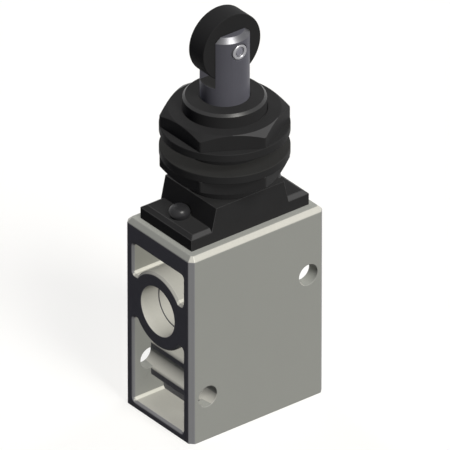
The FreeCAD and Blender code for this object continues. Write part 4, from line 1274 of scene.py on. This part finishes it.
@dataclass
class PlungerUnit:
    """The plunger with its fork, the stem under it, the roller and its axle."""

    collar_radius: float = 4.85
    collar_height: float = 2.0
    collar_edge: float = 0.3
    vent_width: float = 1.6
    vent_depth: float = 0.5
    radius: float = 4.15
    chamfer: float = 0.85
    chamfer_edge: float = 0.08
    soft: float = 0.1
    socket_radius: float = 2.02
    socket_depth: float = 3.02
    slot_width: float = 4.1
    slot_depth: float = 9.5
    axle_radius: float = 1.4
    axle_clearance: float = 0.02
    axle_relief: float = 0.14
    axle_relief_floor: float = 3.65
    axle_disc_radius: float = 0.66
    axle_disc_depth: float = 0.22
    axle_disc_edge: float = 0.04
    axle_groove_width: float = 0.13
    axle_groove_depth: float = 0.45
    axle_rim_slope: float = 0.07
    axle_rim_rounding: float = 0.26
    roller_edge: float = 0.12
    roller_bore: float = 1.46
    edge: float = 0.07

    def build(self) -> None:
        """Build the plunger, the stem, the axle and the roller."""
        self.build_plunger()
        merged_piece("valve_stem_turned", "valve_stem", self.edge)
        self.build_axle()
        self.build_roller()

    def axle_height(self) -> float:
        """Height of the axle's middle line in millimetres."""
        return node_middle("roller_axle")[2]

    def build_plunger(self) -> None:
        """Turn the plunger, then cut its fork's slot and the axle's hole."""
        foot, top, soft = node_foot("plunger"), node_height("plunger"), self.soft
        section = [
            Corner(0, self.socket_depth),
            Corner(self.socket_radius, self.socket_depth, soft),
            Corner(self.socket_radius, 0, soft),
            Corner(self.collar_radius, 0, self.collar_edge),
            Corner(self.collar_radius, self.collar_height, soft),
            Corner(self.radius, self.collar_height, soft),
            Corner(self.radius, top - self.chamfer, self.chamfer_edge, 1),
            Corner(self.radius - self.chamfer, top, self.chamfer_edge),
            Corner(0, top),
        ]
        plunger = turned_object("plunger_forked", section, foot)
        beyond = 2 * self.radius
        slot_floor = foot + top - self.slot_depth
        slot = box_object("slot_cutter", (-beyond, -self.slot_width / 2, slot_floor),
                          (beyond, self.slot_width / 2, foot + top + beyond))
        hole_radius = self.axle_radius + self.axle_clearance
        relief_radius = self.axle_radius + self.axle_relief
        floor = self.axle_relief_floor
        hole_section = [
            Corner(0, -beyond), Corner(relief_radius, -beyond), Corner(relief_radius, -floor),
            Corner(hole_radius, -floor), Corner(hole_radius, floor), Corner(relief_radius, floor),
            Corner(relief_radius, beyond), Corner(0, beyond)]
        hole = turned_object("hole_cutter", hole_section, self.axle_height(), across=True)
        vent_floor = self.collar_radius - self.vent_depth
        vents = [
            box_object(name, (start, -self.vent_width / 2, foot - self.edge),
                       (end, self.vent_width / 2, foot + self.collar_height))
            for name, start, end in (
                ("left_vent_cutter", -beyond, -vent_floor), ("right_vent_cutter", vent_floor, beyond))
        ]
        cut_away(plunger, [slot, hole, *vents])
        install(plunger, "plunger", PLUNGER_STEEL, PLUNGER_EDGE, SLOT_STEEL)
        heights = read_rows(plunger.data.polygons, "center")[:, 2] / MM
        dress_faces(plunger.data, np.abs(heights - slot_floor) < self.edge / 2, finish=2)
        ease_edges(plunger, self.edge)
        even_shading(plunger)

    def build_axle(self) -> None:
        """Turn the axle, with a disc, a groove and a bright rounded rim round them at each end."""
        half = node_size("roller_axle")[1] / 2
        disc, rounding = self.axle_disc_radius, self.axle_rim_rounding
        groove_end = disc + self.axle_groove_width
        rim = groove_end + self.axle_rim_slope
        disc_face, groove_floor = half - self.axle_disc_depth, half - self.axle_groove_depth
        ahead = [
            Corner(0, disc_face), Corner(disc, disc_face, self.axle_disc_edge), Corner(disc, groove_floor),
            Corner(groove_end, groove_floor, 0, 1), Corner(rim, half, rounding, 1),
            Corner(self.axle_radius, half, rounding, 1),
        ]
        behind = [
            Corner(self.axle_radius, -half, rounding, 1), Corner(rim, -half, rounding, 1),
            Corner(groove_end, -groove_floor), Corner(disc, -groove_floor),
            Corner(disc, -disc_face, self.axle_disc_edge), Corner(0, -disc_face),
        ]
        axle = turned_object("roller_axle_turned", ahead + behind, self.axle_height(), across=True)
        even_shading(install(axle, "roller_axle", AXLE_END, AXLE_RIM))

    def build_roller(self) -> None:
        """Mould the roller."""
        radius, half, _ = node_size("roller") / 2
        section = [
            Corner(self.roller_bore, -half, self.edge),
            Corner(radius, -half, self.roller_edge),
            Corner(radius, half, self.roller_edge),
            Corner(self.roller_bore, half, self.edge),
        ]
        roller = turned_object("roller_moulded", section, self.axle_height(), across=True)
        even_shading(install(roller, "roller"))


@dataclass(frozen=True)
class Lamp:
    """A soft, far lamp: the direction that it stands in, its level, and how wide and of what tint it is."""

    name: str
    direction: tuple[float, float, float]
    level: float
    spread: float = 19.0
    tint: tuple[float, float, float] = (1.0, 1.0, 1.0)
    casts_shadows: bool = True
    gleams: bool = True

    def place(self) -> None:
        """Hang the lamp. Its strength is its level times pi, so that a white surface reads as its level."""
        light = bpy.data.lights.new(self.name, "SUN")
        light.energy = self.level * math.pi
        light.angle = math.radians(self.spread)
        light.color = self.tint
        light.use_shadow = self.casts_shadows
        lamp = put_in_scene(self.name, light)
        turn_toward(lamp, -Vector(self.direction))
        lamp.visible_glossy = self.gleams


@dataclass
class Studio:
    """A pale floor, soft lamps, a white backdrop and the camera."""

    azimuth: float = -38.05
    elevation: float = 31.17
    view_width: float = 74.55
    aim_height: float = 33.3
    aim_right: float = 0.05
    lens: float = 1500.0
    sensor: float = 36.0
    near_clip: float = 0.1
    far_clip: float = 3.0
    floor_radius: float = 1.4
    floor_steps: int = 96
    floor_emission: float = 0.32
    floor_albedo: float = 0.60
    floor_bounce: float = 0.02
    ambient: tuple[float, float, float] = (0.015, 0.015, 0.042)

    def build(self) -> None:
        """Lay the floor, stand the lamps and the camera, and set the world."""
        scene = bpy.context.scene
        scene.view_settings.view_transform = "Standard"
        self.lay_floor()
        self.set_world()
        target = Vector((0, 0, self.aim_height * MM))
        key, cream = (0.0, -0.66, 0.75), (1.0, 0.985, 0.93)
        lamps = [
            Lamp("key_lamp", key, level=0.35, tint=cream),
            Lamp("open_lamp", key, level=1.03, tint=cream, casts_shadows=False),
            Lamp("side_lamp", (0.98, 0.10, 0.10), level=0.55, gleams=False),
            Lamp("rear_lamp", (0.10, 0.98, 0.10), level=0.75, gleams=False),
        ]
        for lamp in lamps:
            lamp.place()
        self.stand_camera(target)

    def stand_camera(self, target: Vector) -> None:
        """Stand the camera, far off with a long lens, so that parallel edges stay parallel.

        Args:
            target: the point on the valve's axis that it looks at.
        """
        turn, rise = math.radians(self.azimuth), math.radians(self.elevation)
        back = Vector((
            math.sin(turn) * math.cos(rise), -math.cos(turn) * math.cos(rise), math.sin(rise)))
        right = Vector((math.cos(turn), math.sin(turn), 0))
        lens = bpy.data.cameras.new("camera")
        lens.lens, lens.sensor_width = self.lens, self.sensor
        camera = put_in_scene("camera", lens)
        distance = self.view_width * MM * self.lens / self.sensor
        camera.location = target + right * (self.aim_right * MM) + back * distance
        turn_toward(camera, -back)
        lens.clip_start, lens.clip_end = distance * self.near_clip, distance * self.far_clip
        bpy.context.scene.camera = camera

    def seen_directly(self, nodes: ShaderTree) -> bpy.types.NodeSocket:
        """Tell the rays that show the backdrop, also in a reflection, from those that only light.

        Args:
            nodes: the tree of the backdrop's material or world.

        Returns:
            A socket that carries 1 for the rays that show it, and 0 for the others.
        """
        path = nodes.add("LightPath").outputs
        seen = nodes.work_out("MAXIMUM", path["Is Camera Ray"], path["Is Glossy Ray"])
        return nodes.work_out("MAXIMUM", seen, path["Is Transmission Ray"])

    def lay_floor(self) -> None:
        """Lay a round floor that reads near white, keeps a faint shadow and throws little light back up.

        Its points are (r cos a, r sin a, 0) for each angle a, where r is nothing or the floor's radius.
        """
        angles = np.linspace(0, 2 * np.pi, self.floor_steps, endpoint=False)
        rings = np.array([0.0, 1.0])[:, None] * self.floor_radius
        points = np.stack(np.broadcast_arrays(rings * np.cos(angles), rings * np.sin(angles), 0.0), axis=-1)
        floor = new_object("floor", points, grid_faces(2, len(angles), False, True))
        made = bpy.data.materials.new("pale_floor")
        nodes = ShaderTree(made)
        low = nodes.add("BsdfDiffuse", Color=(self.floor_bounce,) * 3 + (1,)).outputs[0]
        pale = nodes.add("BsdfDiffuse", Color=(self.floor_albedo,) * 3 + (1,)).outputs[0]
        glow = nodes.add("Emission", Color=(1, 1, 1, 1), Strength=self.floor_emission).outputs[0]
        self.show(nodes, low, nodes.join("AddShader", pale, glow), "OutputMaterial")
        floor.data.materials.append(made)

    def show(
            self, nodes: ShaderTree, lighting: bpy.types.NodeSocket, seen: bpy.types.NodeSocket,
            output: str) -> None:
        """Show one shader to the rays that see the backdrop, and the other to the rays that only light."""
        nodes.add(output, Surface=nodes.join("MixShader", self.seen_directly(nodes), lighting, seen))

    def set_world(self) -> None:
        """White behind the object, and a low bluish light from all round."""
        world = bpy.data.worlds.new("studio")
        bpy.context.scene.world = world
        nodes = ShaderTree(world)
        dim = nodes.add("Background", Color=self.ambient + (1,), Strength=1.0).outputs[0]
        white = nodes.add("Background", Color=(1, 1, 1, 1), Strength=1.0).outputs[0]
        self.show(nodes, dim, white, "OutputWorld")


def main() -> None:
    """Build every group of pieces round the frame, then the studio."""
    logging.basicConfig(level=logging.INFO, format="%(message)s")
    groups = (ValveBody, BottomClosure, PoppetGroup, StemCartridge, Head, PanelClamp, PlungerUnit, Studio)
    for group in groups:
        LOG.info("building %s", group.__name__)
        group().build()


if __name__ == "__main__":
    main()
